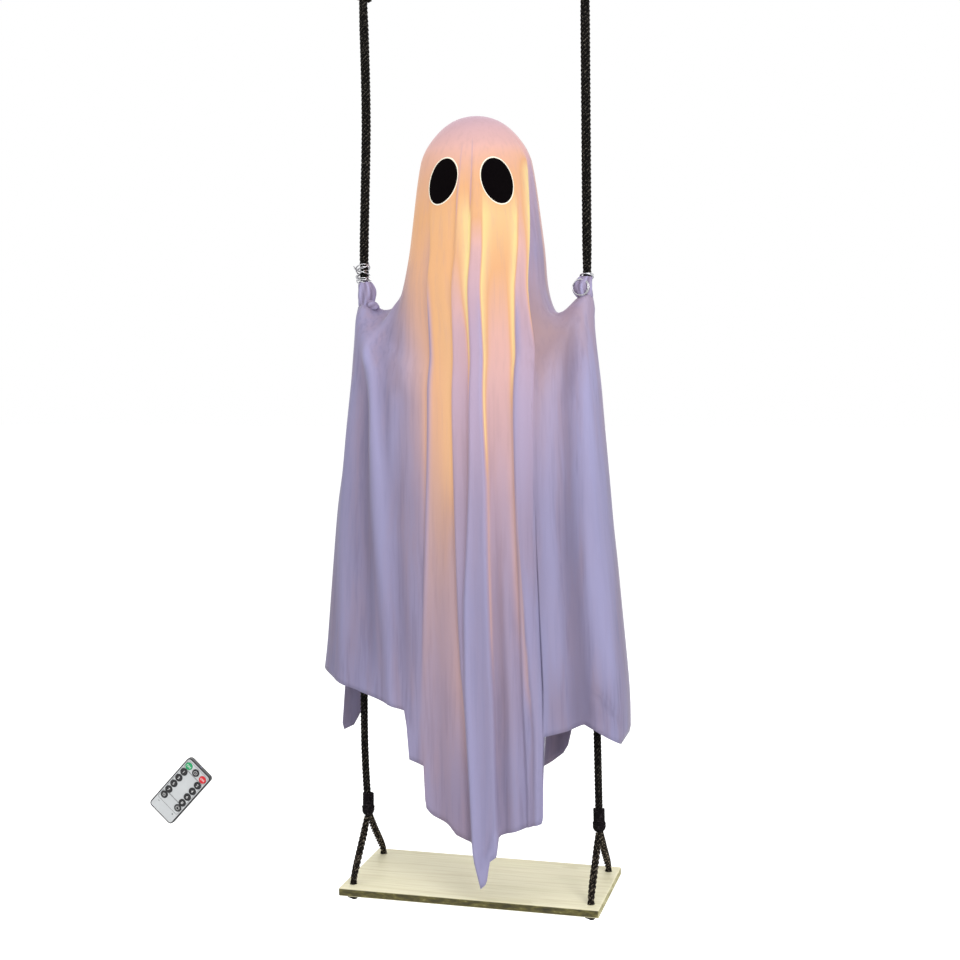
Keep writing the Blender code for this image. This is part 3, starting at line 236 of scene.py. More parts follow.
class Nodes:
    """Short ways to add and link the nodes of one material."""

    def __init__(self, name):
        self.material = bpy.data.materials.new(name)
        self.material.use_nodes = True
        self.tree = self.material.node_tree
        self.shader = self.tree.nodes["Principled BSDF"]

    def add(self, kind, **settings):
        node = self.tree.nodes.new(kind)
        for key, value in settings.items():
            setattr(node, key, value)
        return node

    def link(self, a, b):
        self.tree.links.new(a, b)

    def coordinates(self, kind):
        return self.add("ShaderNodeTexCoord").outputs[kind]

    def places(self, scale=(1, 1, 1)):
        mapping = self.add("ShaderNodeMapping")
        mapping.inputs["Scale"].default_value = scale
        self.link(self.coordinates("Object"), mapping.inputs["Vector"])
        return mapping.outputs["Vector"]

    def axes(self, vector):
        node = self.add("ShaderNodeSeparateXYZ")
        self.link(vector, node.inputs[0])
        return node.outputs

    def noise(self, vector, scale, detail=3.0, rough=0.55):
        node = self.add("ShaderNodeTexNoise")
        self.fill(node, ("Vector", "Scale", "Detail", "Roughness"), (vector, scale, detail, rough))
        return node.outputs["Fac"]

    def ramp(self, value, stops):
        node = self.add("ShaderNodeValToRGB")
        elements = node.color_ramp.elements
        elements[0].position, elements[0].color = stops[0][0], (*stops[0][1], 1)
        elements[1].position, elements[1].color = stops[-1][0], (*stops[-1][1], 1)
        for place, colour in stops[1:-1]:
            element = elements.new(place)
            element.color = (*colour, 1)
        self.link(value, node.inputs["Fac"])
        return node.outputs["Color"]

    def fill(self, node, places, values):
        """Puts a socket, a number or a colour into each of a node's inputs."""
        for place, value in zip(places, values):
            if isinstance(value, bpy.types.NodeSocket):
                self.link(value, node.inputs[place])
            else:
                node.inputs[place].default_value = (*value, 1) if isinstance(value, tuple) else value

    def mix(self, factor, a, b):
        node = self.add("ShaderNodeMix", data_type="RGBA")
        self.fill(node, (0, 6, 7), (factor, a, b))
        return node.outputs[2]

    def math(self, operation, a, b=0.0):
        node = self.add("ShaderNodeMath", operation=operation)
        self.fill(node, (0, 1), (a, b))
        return node.outputs[0]

    def between(self, value, low, high, out_low=0.0, out_high=1.0):
        node = self.add("ShaderNodeMapRange")
        self.fill(node, ("Value", "From Min", "From Max", "To Min", "To Max"), (value, low, high, out_low, out_high))
        return node.outputs["Result"]

    def attribute(self, name):
        return self.add("ShaderNodeAttribute", attribute_name=name).outputs["Fac"]

    def bump(self, height, strength, distance):
        node = self.add("ShaderNodeBump")
        self.fill(node, ("Strength", "Distance", "Height"), (strength, distance, height))
        self.link(node.outputs["Normal"], self.shader.inputs["Normal"])

    def colour(self, socket):
        self.link(socket, self.shader.inputs["Base Color"])

    def rough(self, value):
        self.fill(self.shader, ("Roughness",), (value,))


def rope_material(name, dark, light, amount=0.5):
    """Black yarns with a painted highlight along their crowns, and fine diagonal fibres."""
    n = Nodes(name)
    axes = n.axes(n.coordinates("UV"))
    # painted highlight along each strand's outer crown
    crown = n.math("COSINE", n.math("MULTIPLY", axes["X"], math.tau))
    lay = n.math("ADD", n.math("MULTIPLY", axes["X"], 3.0), n.math("MULTIPLY", axes["Y"], 5.0))
    fibres = n.math("SINE", n.math("MULTIPLY", lay, math.tau))
    specks = n.noise(n.places(), 420, 3.0, 0.6)
    level = n.math("ADD", n.math("MULTIPLY", crown, 0.10), n.math("MULTIPLY", fibres, 0.05))
    level = n.math("ADD", level, specks)
    n.colour(n.ramp(level, [(0.48, dark), (0.60, tuple(c * 2.5 for c in dark)),
                            (0.70, tuple(d + (b - d) * amount for d, b in zip(dark, light))), (0.82, light)]))
    n.rough(0.9)
    n.shader.inputs["Specular IOR Level"].default_value = 0.12
    n.bump(n.math("ADD", fibres, specks), 0.4, COARSE)
    return n.material


def moulded_material(name, colour, roughness, grain=1400, depth=0.05, speckle=0.05):
    """Moulded plastic: a faint grain, and slightly uneven colour and gloss."""
    n = Nodes(name)
    fine = n.noise(n.places(), grain, 2.0)
    broad = n.noise(n.places(), 60, 2.0)
    low = tuple(c * (1 - speckle) for c in colour)
    high = tuple(min(1.0, c * (1 + speckle)) for c in colour)
    n.colour(n.ramp(broad, [(0.3, low), (0.7, high)]))
    n.rough(n.between(fine, 0.3, 0.7, roughness - 0.05, roughness + 0.06))
    n.bump(fine, depth, GRAINED)
    return n.material


def metal_material(name, colour, roughness, stretch=(1, 1, 1), scale=900):
    """Metal with fine drawn or rolled lines."""
    n = Nodes(name)
    lines = n.noise(n.places(stretch), scale, 3.0)
    stain = n.noise(n.places(), 45, 3.0)
    n.colour(n.ramp(stain, [(0.3, tuple(c * 0.8 for c in colour)), (0.7, colour)]))
    n.shader.inputs["Metallic"].default_value = 1.0
    n.rough(n.between(lines, 0.3, 0.7, roughness - 0.07, roughness + 0.1))
    n.bump(lines, 0.12, DRAWN)
    return n.material


def wood_material():
    """Pale yellowish softwood with long, thin grain, and dark, rough-sawn edges."""
    n = Nodes("pale wood")
    wander = n.noise(n.places((1.5, 10, 10)), 5, 2.0)
    lines = n.add("ShaderNodeTexWave", wave_type="BANDS", bands_direction="Y", wave_profile="SAW")
    n.fill(lines, ("Vector", "Scale", "Distortion", "Detail", "Detail Scale"),
           (n.places((0.16, 1, 1)), 9, 9, 3, 1.2))
    grain = n.noise(n.places((1, 22, 22)), 13, 5.0, 0.6)
    pores = n.noise(n.places((1, 45, 45)), 26, 3.0)
    top = n.ramp(grain, [(0.30, (0.74, 0.68, 0.44)), (0.50, (0.88, 0.830, 0.59)), (0.72, (0.93, 0.890, 0.66))])
    top = n.mix(n.between(lines.outputs["Fac"], 0.0, 0.22, 0.32, 0.0), top, (0.60, 0.53, 0.28))
    top = n.mix(n.between(wander, 0.45, 0.7, 0.0, 0.30), top, (0.74, 0.71, 0.45))
    top = n.mix(n.between(pores, 0.64, 0.74, 0.0, 0.40), top, (0.40, 0.32, 0.16))
    chips = n.noise(n.places((1, 1, 3)), 55, 5.0, 0.7)
    side = n.ramp(chips, [(0.30, (0.022, 0.018, 0.004)), (0.47, (0.062, 0.052, 0.011)),
                          (0.60, (0.135, 0.118, 0.028)), (0.72, (0.46, 0.42, 0.21))])
    ends = n.ramp(chips, [(0.30, (0.16, 0.14, 0.05)), (0.50, (0.46, 0.42, 0.20)), (0.72, (0.74, 0.70, 0.46))])
    axes = n.axes(n.places())
    height = axes["Z"]
    side = n.mix(n.between(axes["X"], *END_GRAIN), side, ends)
    under = n.between(height, -BOARD_DROP - EDGE_FAR, -BOARD_DROP - EDGE_NEAR, 1.0, 0.0)
    foot = -BOARD_DROP - BOARD_THICKNESS
    over = n.between(height, foot + EDGE_NEAR, foot + EDGE_FAR)
    n.colour(n.mix(n.math("MULTIPLY", under, over), top, side))
    n.rough(n.between(grain, 0.3, 0.7, 0.50, 0.72))
    n.bump(grain, 0.25, COARSE)
    return n.material


def cloth_material():
    """Thin lavender cloth, with the warm light from behind painted in as colour and glow where its vertex values say
    so, and painted shade and highlight along its folds.
    """
    n = Nodes("lavender cloth")
    glow, hue, fold = (n.attribute(name) for name in ("glow", "hue", "fold"))
    streaks = n.noise(n.places((1, 1, 0.10)), 80, 3.0)
    lines = n.noise(n.places((1, 1, 0.05)), 210, 2.0)
    drift = n.noise(n.places((1, 1, 0.3)), 11, 2.0)
    shade = n.between(n.axes(n.places())["Z"], *SHADE_HEIGHTS, 0.17, 0.0)
    plain = n.ramp(drift, [(0.35, (0.275, 0.242, 0.380)), (0.65, (0.320, 0.300, 0.485))])
    plain = n.mix(n.between(streaks, 0.40, 0.64, 0.0, 0.65), plain, (0.325, 0.258, 0.362))
    plain = n.mix(n.between(lines, 0.50, 0.66, 0.0, 0.40), plain, (0.215, 0.190, 0.310))
    # painted shade in the valleys of the folds, painted highlight on their ridges
    plain = n.mix(n.between(fold, -1.0, -0.1, 0.80, 0.0), plain, (0.195, 0.168, 0.268))
    plain = n.mix(n.between(fold, 0.1, 1.0, 0.0, 0.75), plain, (0.390, 0.374, 0.605))
    plain = n.mix(shade, plain, (0.0, 0.0, 0.0))
    warm = n.ramp(hue, [(0.0, (0.62, 0.415, 0.505)), (0.25, (0.86, 0.500, 0.430)), (0.5, (0.88, 0.475, 0.235)),
                        (0.75, (0.93, 0.610, 0.300)), (1.0, (0.97, 0.780, 0.345))])
    warm = n.mix(n.between(lines, 0.50, 0.68, 0.0, 0.16), warm, (0.58, 0.36, 0.34))
    n.colour(n.mix(glow, plain, n.mix(0.50, warm, (0.0, 0.0, 0.0))))
    n.fill(n.shader, ("Emission Color", "Emission Strength"), (warm, n.math("MULTIPLY", glow, 0.45)))
    n.rough(0.8)
    threads = n.noise(n.places((1, 1, 0.2)), 1500, 2.0)
    n.bump(n.math("ADD", threads, n.math("MULTIPLY", streaks, 4.0)), 0.20, THREADED)
    n.fill(n.shader, ("Specular IOR Level", "Sheen Weight", "Sheen Roughness"), (0.25, 0.30, 0.3))
    return n.material


def felt_material():
    n = Nodes("black felt")
    fuzz = n.noise(n.places(), 1500, 5.0, 0.7)
    n.colour(n.ramp(fuzz, [(0.35, (0.0006, 0.0003, 0.0004)), (0.80, (0.006, 0.004, 0.005))]))
    n.rough(0.98)
    n.shader.inputs["Specular IOR Level"].default_value = 0.04
    n.bump(fuzz, 0.4, FUZZY)
    return n.material


def lamp_material(name, colour, strength):
    n = Nodes(name)
    core = n.noise(n.places(), 700, 2.0)
    glow = n.ramp(core, [(0.3, tuple(c * 0.85 for c in colour)), (0.7, colour)])
    n.colour(glow)
    n.fill(n.shader, ("Emission Color", "Emission Strength"), (glow, strength))
    n.rough(0.15)
    return n.material


def circuit_material():
    n = Nodes("circuit board")
    cells = n.add("ShaderNodeTexVoronoi", feature="DISTANCE_TO_EDGE")
    n.fill(cells, ("Vector", "Scale"), (n.places(), 420))
    n.colour(n.ramp(cells.outputs["Distance"], [(0.02, (0.30, 0.42, 0.16)), (0.10, (0.015, 0.14, 0.05)),
                                               (1.0, (0.012, 0.11, 0.04))]))
    n.rough(0.35)
    return n.material


def cell_material():
    """Wrapped dry cells: a copper-coloured band over a dark sleeve."""
    n = Nodes("cell wrap")
    level = n.between(n.axes(n.places())["Z"], *CELL_HEIGHTS)
    scuff = n.noise(n.places(), 500, 3.0)
    n.colour(n.mix(n.between(scuff, 0.62, 0.7, 0.0, 0.5), n.ramp(level, [
        (0.02, (0.60, 0.60, 0.60)), (0.03, (0.02, 0.02, 0.022)), (0.68, (0.02, 0.02, 0.022)),
        (0.70, (0.62, 0.33, 0.12)), (0.955, (0.62, 0.33, 0.12)), (0.965, (0.65, 0.65, 0.66))]), (0.2, 0.2, 0.2)))
    n.rough(0.3)
    n.shader.inputs["Metallic"].default_value = 0.3
    return n.material


finish = {
    "rope": rope_material("black rope", (0.0035, 0.0030, 0.0028), (0.150, 0.135, 0.110)),
    "leg rope": rope_material("brown-black rope", (0.0060, 0.0045, 0.0035), (0.260, 0.220, 0.165), 0.8),
    "twine": rope_material("black twine", (0.0040, 0.0028, 0.0036), (0.070, 0.055, 0.062)),
    "cloth": cloth_material(),
    "felt": felt_material(),
    "cream": moulded_material("cream edging", (0.98, 0.90, 0.74), 0.7, 900, 0.2, 0.02),
    "wood": wood_material(),
    "steel": metal_material("zinc plated steel", (0.62, 0.63, 0.65), 0.34, (1, 1, 4)),
    "wire": metal_material("bright wire", (0.60, 0.60, 0.63), 0.26, (4, 4, 1)),
    "frosted": moulded_material("frosted plastic", (0.85, 0.83, 0.78), 0.5),
    "white": moulded_material("white plastic", (0.78, 0.78, 0.77), 0.42),
    "dark": moulded_material("dark plastic", (0.016, 0.016, 0.018), 0.38),
    "silver": moulded_material("silver film", (0.60, 0.62, 0.63), 0.33, 2500, 0.03, 0.03),
    "green": moulded_material("green key rubber", (0.012, 0.36, 0.13), 0.45),
    "red": moulded_material("red key rubber", (0.68, 0.018, 0.03), 0.45),
    "print_white": moulded_material("white print", (0.86, 0.86, 0.86), 0.5, 3000, 0.02, 0.02),
    "print_dark": moulded_material("dark print", (0.05, 0.05, 0.055), 0.5, 3000, 0.02, 0.02),
    "circuit": circuit_material(),
    "clear": moulded_material("smoked lens", (0.20, 0.20, 0.26), 0.08, 400, 0.01),
    "cell": cell_material(),
    "lamp": lamp_material("warm lamp", (1.0, 0.62, 0.22), 6.0),
    "string": moulded_material("copper string wire", (0.62, 0.36, 0.18), 0.35),
}

FINISH_OF_NODES = {
    "steel": ("hanger_left", "hanger_right", "spine_tube", "coin_cell"),
    "wire": ("hanger_screw_1", "hanger_screw_2", "hanger_screw_3", "hanger_screw_4"),
    "wood": ("seat_board",),
    "white": ("hub_clamp", "battery_case", "battery_cover"),
    "red": ("power_button", "key_off"),
    "dark": ("ir_receiver", "remote_case", "cell_tray", "key_timer", "key_dimmer", "key_brighter",
             *("key_%d" % number for number in range(1, 9))),
    "green": ("key_on",),
    "silver": ("remote_face",),
    "circuit": ("remote_board",),
    "clear": ("remote_led",),
    "cell": ("cell_1", "cell_2", "cell_3"),
}


def finish_nodes():
    for name, members in FINISH_OF_NODES.items():
        for member in members:
            materials = nodes[member].data.materials
            if not materials:
                materials.append(finish[name])
            for slot in range(len(materials)):
                materials[slot] = finish[name]


# Camera, stage and light

CAMERA_ANGLES = (15.14, 5.07, -0.66)
CAMERA_TARGET = Vector((3, 0, -646.6)) * MM
CAMERA_DISTANCE = 1.785
LENS_LENGTH, SENSOR_WIDTH = 57.08, 36
FLOOR_SIZE, FLOOR_PLACE = 30, (0, 0, -1.42)
LAMP_AIM = (0, 0, -0.65)
# Studio lamps, as (name, place, side of the square, watts)
LAMPS = (
    ("key_light", (1.9, -2.1, 0.5), 1.6, 50),
    ("fill_light", (-2.2, -1.7, 0.3), 2.0, 12),
    ("back_light", (-0.4, 2.4, 0.8), 2.0, 22),
    ("top_light", (0.1, -0.5, 1.5), 1.6, 10),
)


def make_camera():
    """The photograph's viewing angle: a little from the right of the ghost's front, and slightly above."""
    azimuth, elevation, roll = (math.radians(angle) for angle in CAMERA_ANGLES)
    ahead = Vector((-math.sin(azimuth) * math.cos(elevation), math.cos(azimuth) * math.cos(elevation),
                    -math.sin(elevation)))
    level = Vector((math.cos(azimuth), math.sin(azimuth), 0))
    right = level * math.cos(roll) + level.cross(ahead) * math.sin(roll)
    up = right.cross(ahead)
    camera = bpy.data.objects.new("camera", bpy.data.cameras.new("camera"))
    bpy.context.scene.collection.objects.link(camera)
    turn = Matrix((right, up, -ahead)).transposed()
    camera.matrix_world = Matrix.Translation(CAMERA_TARGET - ahead * CAMERA_DISTANCE) @ turn.to_4x4()
    camera.data.sensor_width = SENSOR_WIDTH
    camera.data.lens = LENS_LENGTH
    bpy.context.scene.camera = camera


def make_stage():
    """A plain white floor well under the swing, which also closes the view behind."""
    bpy.ops.mesh.primitive_plane_add(size=FLOOR_SIZE, location=FLOOR_PLACE)
    floor = bpy.context.object
    floor.name = "studio_floor"
    floor.data.transform(floor.matrix_world)
    floor.matrix_world = Matrix.Identity(4)
    n = Nodes("white floor")
    seen = n.math("MULTIPLY", n.add("ShaderNodeLightPath").outputs["Is Camera Ray"], 0.55)
    n.fill(n.shader, ("Base Color", "Roughness", "Emission Color", "Emission Strength"),
           ((0.80, 0.80, 0.80), 0.9, (1, 1, 1), seen))
    floor.data.materials.append(n.material)
    world = bpy.data.worlds.new("studio")
    bpy.context.scene.world = world
    world.use_nodes = True
    tree = world.node_tree
    sky = tree.nodes["Background"]
    sky.inputs["Color"].default_value = (1, 1, 1, 1)
    path = tree.nodes.new("ShaderNodeLightPath")
    seen = tree.nodes.new("ShaderNodeMath")
    seen.operation = "MAXIMUM"
    tree.links.new(path.outputs["Is Camera Ray"], seen.inputs[0])
    tree.links.new(path.outputs["Is Glossy Ray"], seen.inputs[1])
    level = tree.nodes.new("ShaderNodeMapRange")
    level.inputs["To Min"].default_value = 0.62
    level.inputs["To Max"].default_value = 1.0
    tree.links.new(seen.outputs[0], level.inputs["Value"])
    tree.links.new(level.outputs["Result"], sky.inputs["Strength"])


def make_light():
    for name, place, size, watts in LAMPS:
        lamp = bpy.data.lights.new(name, "AREA")
        lamp.shape = "SQUARE"
        lamp.size = size
        lamp.energy = watts
        obj = bpy.data.objects.new(name, lamp)
        bpy.context.scene.collection.objects.link(obj)
        obj.location = place
        obj.rotation_euler = (Vector(LAMP_AIM) - Vector(place)).to_track_quat("-Z", "Y").to_euler()


# Ropes

# How far outwards the left rope is drawn from its straight line, as (drop, mm)
LEFT_BOW = ((0.088, 0.0), (0.17, -1.4), (0.235, -1.4), (0.307, 1.1), (0.38, 3.8), (0.45, 4.2), (0.60, 4.4),
            (0.90, 5.2), (0.97, 4.6), (1.02, 2.2), (1.046, 0.0))
BOW_STOPS = (0.17, 0.235, 0.307, 0.36)
LOWER_BOW_STOPS = (0.60, 0.75, 0.90, 0.97, 1.02)


def rope_x(drop, side=1):
    """How far from the middle a side's rope lies at a drop."""
    bow = between_points(LEFT_BOW, drop) * MM if side < 0 else 0.0
    if drop < HAND_DROP:
        return ROPE_HALF_TOP + (ROPE_HALF_HAND - ROPE_HALF_TOP) * drop / HAND_DROP + bow
    share = (drop - HAND_DROP) / (SPLIT_DROP - HAND_DROP)
    return ROPE_HALF_HAND + (ROPE_HALF_SPLIT - ROPE_HALF_HAND) * share + bow


def eye_route():
    """The rope's eye over the saddle, from its tail to the standing part, as (y, drop)."""
    centre = SADDLE_DROP - SADDLE_ROD_RADIUS - SEAT_GAP - ROPE_RADIUS + EYE_RADIUS
    tail_y = 2 * ROPE_RADIUS + SEAT_GAP
    throat = SADDLE_DROP + EYE_TAIL_LENGTH - SEIZING_LENGTH - EYE_THROAT_RISE
    route = [(tail_y, SADDLE_DROP + EYE_TAIL_LENGTH), (tail_y, throat)]
    for step in range(EYE_STEPS + 1):
        angle = -EYE_THROAT_ANGLE + (math.pi + 2 * EYE_THROAT_ANGLE) * step / EYE_STEPS
        route.append((EYE_RADIUS * math.cos(angle), centre - EYE_RADIUS * math.sin(angle)))
    route.append((0, throat))
    return route


def twisted_rope(name, replaced, route, radius, body, girth, material, strands=6, sides=7):
    """Strands laid round each other along a route; girth gives the rope's radius at a drop."""
    pitch = 3.0 * 2 * radius
    points = even_points(route, pitch / 12)
    pairs = frames_along(points)
    spread = math.sin(math.pi / strands)
    length = line_length(points)
    parts = []
    for number in range(strands):
        verts, faces, uvs, along = [], [], [], 0.0
        for i, (point, (a, b)) in enumerate(zip(points, pairs)):
            if i:
                along += (point - points[i - 1]).length
            full = girth(-point.z)
            strand = full * spread / (1 + spread) * 1.08
            turn = math.tau * (along / pitch + number / strands)
            out = a * math.cos(turn) + b * math.sin(turn)
            round_it = a * -math.sin(turn) + b * math.cos(turn)
            centre = point + out * (full - strand)
            for k in range(sides):
                angle = math.tau * k / sides
                verts.append(centre + (out * math.cos(angle) + round_it * math.sin(angle)) * strand)
                uvs.append((k / sides, along * 100))
        for i in range(len(points) - 1):
            faces += band(i * sides, (i + 1) * sides, sides)
        faces += [tuple(reversed(range(sides))), tuple(range(len(verts) - sides, len(verts)))]
        parts.append((verts, faces, uvs))
    parts.append(tube_mesh(points, radius * (1 - 2 * spread / (1 + spread)) * 1.1, sides))
    verts, faces, uvs = join_parts(parts)
    return add_piece(name, verts, faces, material, body, replaced, uvs), points, length


ROPE_PLUMPNESS = ((0.09, 1.0), (0.12, 1.13), (0.38, 1.13), (0.41, 0.98), (0.44, 0.84), (0.56, 0.84), (0.62, 0.94))
LEG_PLUMPNESS = ((SPLIT_DROP + 12 * MM, 1.0), (SPLIT_DROP + 22 * MM, 1.16), (BOARD_DROP - 18 * MM, 1.16),
                 (BOARD_DROP - 5 * MM, 1.0))


def rope_girth(drop):
    """The rope is plumper where it runs free above the hands, and drawn thinner below them."""
    return ROPE_RADIUS * between_points(ROPE_PLUMPNESS, drop)


def leg_girth(drop):
    """A lower rope is slack and plump between its two knots and thin in its hole."""
    return LEG_RADIUS * between_points(LEG_PLUMPNESS, drop)


def make_seizing(side):
    """Close turns of twine round the rope and the tail of its eye."""
    cord = TWINE_RADIUS
    top = SADDLE_DROP + EYE_TAIL_LENGTH - SEIZING_LENGTH
    gap = 2 * ROPE_RADIUS + SEAT_GAP
    reach = ROPE_RADIUS + SEAT_GAP + cord
    turns = int(SEIZING_LENGTH / (2.05 * cord))
    outline = []
    for centre, start in ((gap, -90), (0, 90)):
        for step in range(9):
            angle = math.radians(start + 180 * step / 8)
            outline.append((centre + reach * math.cos(angle), reach * math.sin(angle)))
    points = []
    for turn in range(turns):
        for i, (y, x) in enumerate(outline):
            drop = top + cord + (SEIZING_LENGTH - 2 * cord) * (turn + i / len(outline)) / turns
            points.append(Vector((side * rope_x(drop) + x, y, -drop)))
    verts, faces, uvs = tube_mesh(points, cord, 6)
    name = side_name(side)
    add_piece("seizing_" + name, verts, faces, finish["twine"], "swing", "eye_seizing_" + name, uvs)


def loop_points(centre, radius, tilt, around, count=22):
    """A closed ring, tilted by so many degrees and then turned about its upright."""
    matrix = Matrix.Rotation(math.radians(around), 3, "Z") @ Matrix.Rotation(math.radians(tilt), 3, "X")
    return [centre + matrix @ Vector((radius * math.cos(math.tau * k / count),
                                      radius * math.sin(math.tau * k / count), 0))
            for k in range(count)]


def ring_tube(centre, radius, tilt, around, thickness, sides, count=22):
    return tube_mesh(loop_points(centre, radius, tilt, around, count), thickness, sides, closed=True)


KNOT_STRAND = 2.5 * MM
SPLIT_LOOP_RADIUS = 5.4 * MM
WRAP_CORD = 1.05 * MM
WRAP_RISE = (6 * MM, 22 * MM)
# The loops of the knots, as (tilt, turn, mm above the middle), with each one's radius in mm for the stop knots
SPLIT_LOOPS = ((62, 0, 0), (-58, 40, 0.5), (66, 85, -0.5), (-64, 130, 0), (12, 20, 3.0))
STOP_LOOPS = ((14, 0, 1.4, 4.9), (-18, 70, -1.0, 5.2), (48, 30, 0, 4.6), (-50, 120, 0, 4.6))
# The cut end below a stop knot, as (mm below its middle, its radius in mm)
ROPE_END = ((0, 3.2), (3, 3.4), (5.5, 3.4), (7.5, 3.0))
ROPE_END_SHIFT = 0.8 * MM


def make_split_knot(side):
    """The wrap where the rope splits: close turns, then a round knot from which the lower ropes leave."""
    lean = math.atan((ROPE_HALF_SPLIT - ROPE_HALF_HAND) / (SPLIT_DROP - HAND_DROP))
    place = Vector((side * rope_x(SPLIT_DROP), 0, -SPLIT_DROP))
    turn = Matrix.Rotation(-side * lean, 3, "Y")
    cord, parts = WRAP_CORD, []
    reach = ROPE_RADIUS + SEAT_GAP + cord * 0.6
    (low, high), per_turn = WRAP_RISE, 16
    turns = round((high - low) / (1.9 * cord))
    coil = []
    for step in range(turns * per_turn + 1):
        angle = math.tau * step / per_turn
        height = low + (high - low - cord) * step / (turns * per_turn)
        coil.append(place + turn @ Vector((reach * math.cos(angle), reach * math.sin(angle), height)))
    parts.append(tube_mesh(coil, cord, 6))
    for tilt, around, height in SPLIT_LOOPS:
        parts.append(ring_tube(place + turn @ Vector((0, 0, height * MM)), SPLIT_LOOP_RADIUS, tilt, around,
                               KNOT_STRAND, 8))
    verts, faces, uvs = join_parts(parts)
    name = side_name(side)
    return add_piece("split_wrap_" + name, verts, faces, finish["twine"], "swing",
                     "split_knot_" + name, uvs)


def make_stop_knot(name, x, y):
    """A pulled-tight knot under the board, with the rope's cut end below it."""
    place = Vector((x, y, -BOARD_DROP - BOARD_THICKNESS - SEAT_GAP - STOP_KNOT_RISE))
    parts = []
    for tilt, around, height, radius in STOP_LOOPS:
        parts.append(ring_tube(place + Vector((0, 0, height * MM)), radius * MM, tilt, around, KNOT_STRAND, 8))
    end = [place + Vector((ROPE_END_SHIFT, 0, -down * MM)) for down, _ in ROPE_END]
    parts.append(tube_mesh(end, [girth * MM for _, girth in ROPE_END], 10))
    verts, faces, uvs = join_parts(parts)
    top = place.z + STOP_KNOT_RISE
    for v in verts:
        v.z = top - (top - v.z) * KNOT_FLATNESS
    return add_piece("foot_knot_" + name, verts, faces, finish["rope"], "seat", "stop_knot_" + name, uvs)


def leg_route(side, face):
    """A lower rope, from the knot of the split to the knot under the board."""
    start = KNOT_RADIUS + SEAT_GAP
    top_x, top_drop = rope_x(SPLIT_DROP), SPLIT_DROP
    foot_x, foot_y = LEG_HALF_SPAN, LEG_HALF_DEPTH
    foot_drop = BOARD_DROP + BOARD_THICKNESS + SEAT_GAP + STOP_KNOT_RISE
    span_x, span_drop = foot_x - top_x, BOARD_DROP - top_drop
    route = [
        (top_x, start * math.sin(LEG_SPREAD_ANGLE), top_drop + start * math.cos(LEG_SPREAD_ANGLE)),
        (top_x + span_x * 0.3, foot_y * 0.33, top_drop + span_drop * 0.36),
        (top_x + span_x * 0.7, foot_y * 0.74, top_drop + span_drop * 0.70),
        (foot_x, foot_y * 0.96, top_drop + span_drop * 0.90),
        (foot_x, foot_y, BOARD_DROP),
        (foot_x, foot_y, BOARD_DROP + BOARD_THICKNESS),
        (foot_x, foot_y, foot_drop),
    ]
    return [Vector((side * x, face * y, -drop)) for x, y, drop in route]


def make_ropes():
    for side in (-1, 1):
        name = side_name(side)
        route = [Vector((side * rope_x(drop), y, -drop)) for y, drop in eye_route()]
        eye = curve_through(route, EYE_RADIUS / 2.5)
        stops = [SADDLE_DROP + EYE_TAIL_LENGTH, HAND_DROP - ROPE_STEP, HAND_DROP, HAND_DROP + ROPE_STEP]
        if side < 0:
            stops[1:1] = BOW_STOPS
            stops += LOWER_BOW_STOPS
        straight = [Vector((side * rope_x(drop, side), 0, -drop)) for drop in stops + [SPLIT_DROP - SEAT_GAP]]
        rope, points, length = twisted_rope("swing_rope_" + name, "rope_" + name,
                                            eye + curve_through(straight, ROPE_STEP), ROPE_RADIUS, "swing",
                                            rope_girth, finish["rope"])
        knot = make_split_knot(side)
        make_seizing(side)
        for face in (-1, 1):
            corner = name + ("_front" if face < 0 else "_back")
            leg, points, length = twisted_rope("seat_rope_" + corner, "leg_rope_" + corner,
                                               curve_through(leg_route(side, face), 2 * LEG_RADIUS), LEG_RADIUS,
                                               "seat", leg_girth, finish["leg rope"], strands=4)
            foot = make_stop_knot(corner, side * LEG_HALF_SPAN, face * LEG_HALF_DEPTH)


# Cloth

def eased(value, low, high):
    """0 below low, 1 above high, and a smooth change between."""
    t = min(1.0, max(0.0, (value - low) / (high - low)))
    return t * t * (3 - 2 * t)


# How much slimmer the crown is than a ball, as (fall below the top, share)
CROWN_SLIMMING = ((0.0, 0.0), (0.004, 0.035), (0.010, 0.057), (0.018, 0.066), (0.027, 0.057), (0.036, 0.040),
                  (0.046, 0.026), (0.058, 0.014), (0.072, 0.005), (0.085, 0.0))
# Falls between which the head's shift to the side fades out
LEAN_FADE = (150 * MM, 200 * MM)


def head_radius(fall):
    if fall < SKIRT_START:
        return math.sqrt(max(0, 2 * HEAD_RADIUS * fall - fall * fall))
    start = math.sqrt(2 * HEAD_RADIUS * SKIRT_START - SKIRT_START * SKIRT_START)
    return start + (NECK_RADIUS - start) * (fall - SKIRT_START) / (NECK_LENGTH - SKIRT_START)


def on_head(share, face, fall, out=0.0):
    angle = math.radians(90) * share
    radius = head_radius(fall) * (1 - between_points(CROWN_SLIMMING, fall)) + out
    lean = HEAD_SHIFT * (1 - eased(fall, *LEAN_FADE))
    return Vector((radius * math.sin(angle) + lean, face * radius * math.cos(angle), -HEAD_TOP_DROP - fall))


def section(share, face, half_width, depth, power):
    reach = (1 - abs(share) ** power) ** (1 / power)
    return Vector((half_width * share, face * depth * reach, 0))


def peak_at_hand(place):
    away = Vector((abs(place.x) - ROPE_HALF_HAND, place.y)).length
    side = -1 if place.x < 0 else 1
    mound = HAND_PEAK[side] * math.exp(-(away / HAND_PEAK_WIDTH[side]) ** 2)
    return mound - HAND_NOTCH[side] * math.exp(-(away / HAND_NOTCH_WIDTH) ** 2)


def yoke_point(share, face):
    place = section(share, face, ROPE_HALF_HAND + HAND_OUTSET, YOKE_DEPTH, YOKE_ROUNDNESS)
    place.z = -HAND_DROP - HAND_BASE_SAG - YOKE_FRONT_SAG * (1 - abs(share) ** 3)
    return place


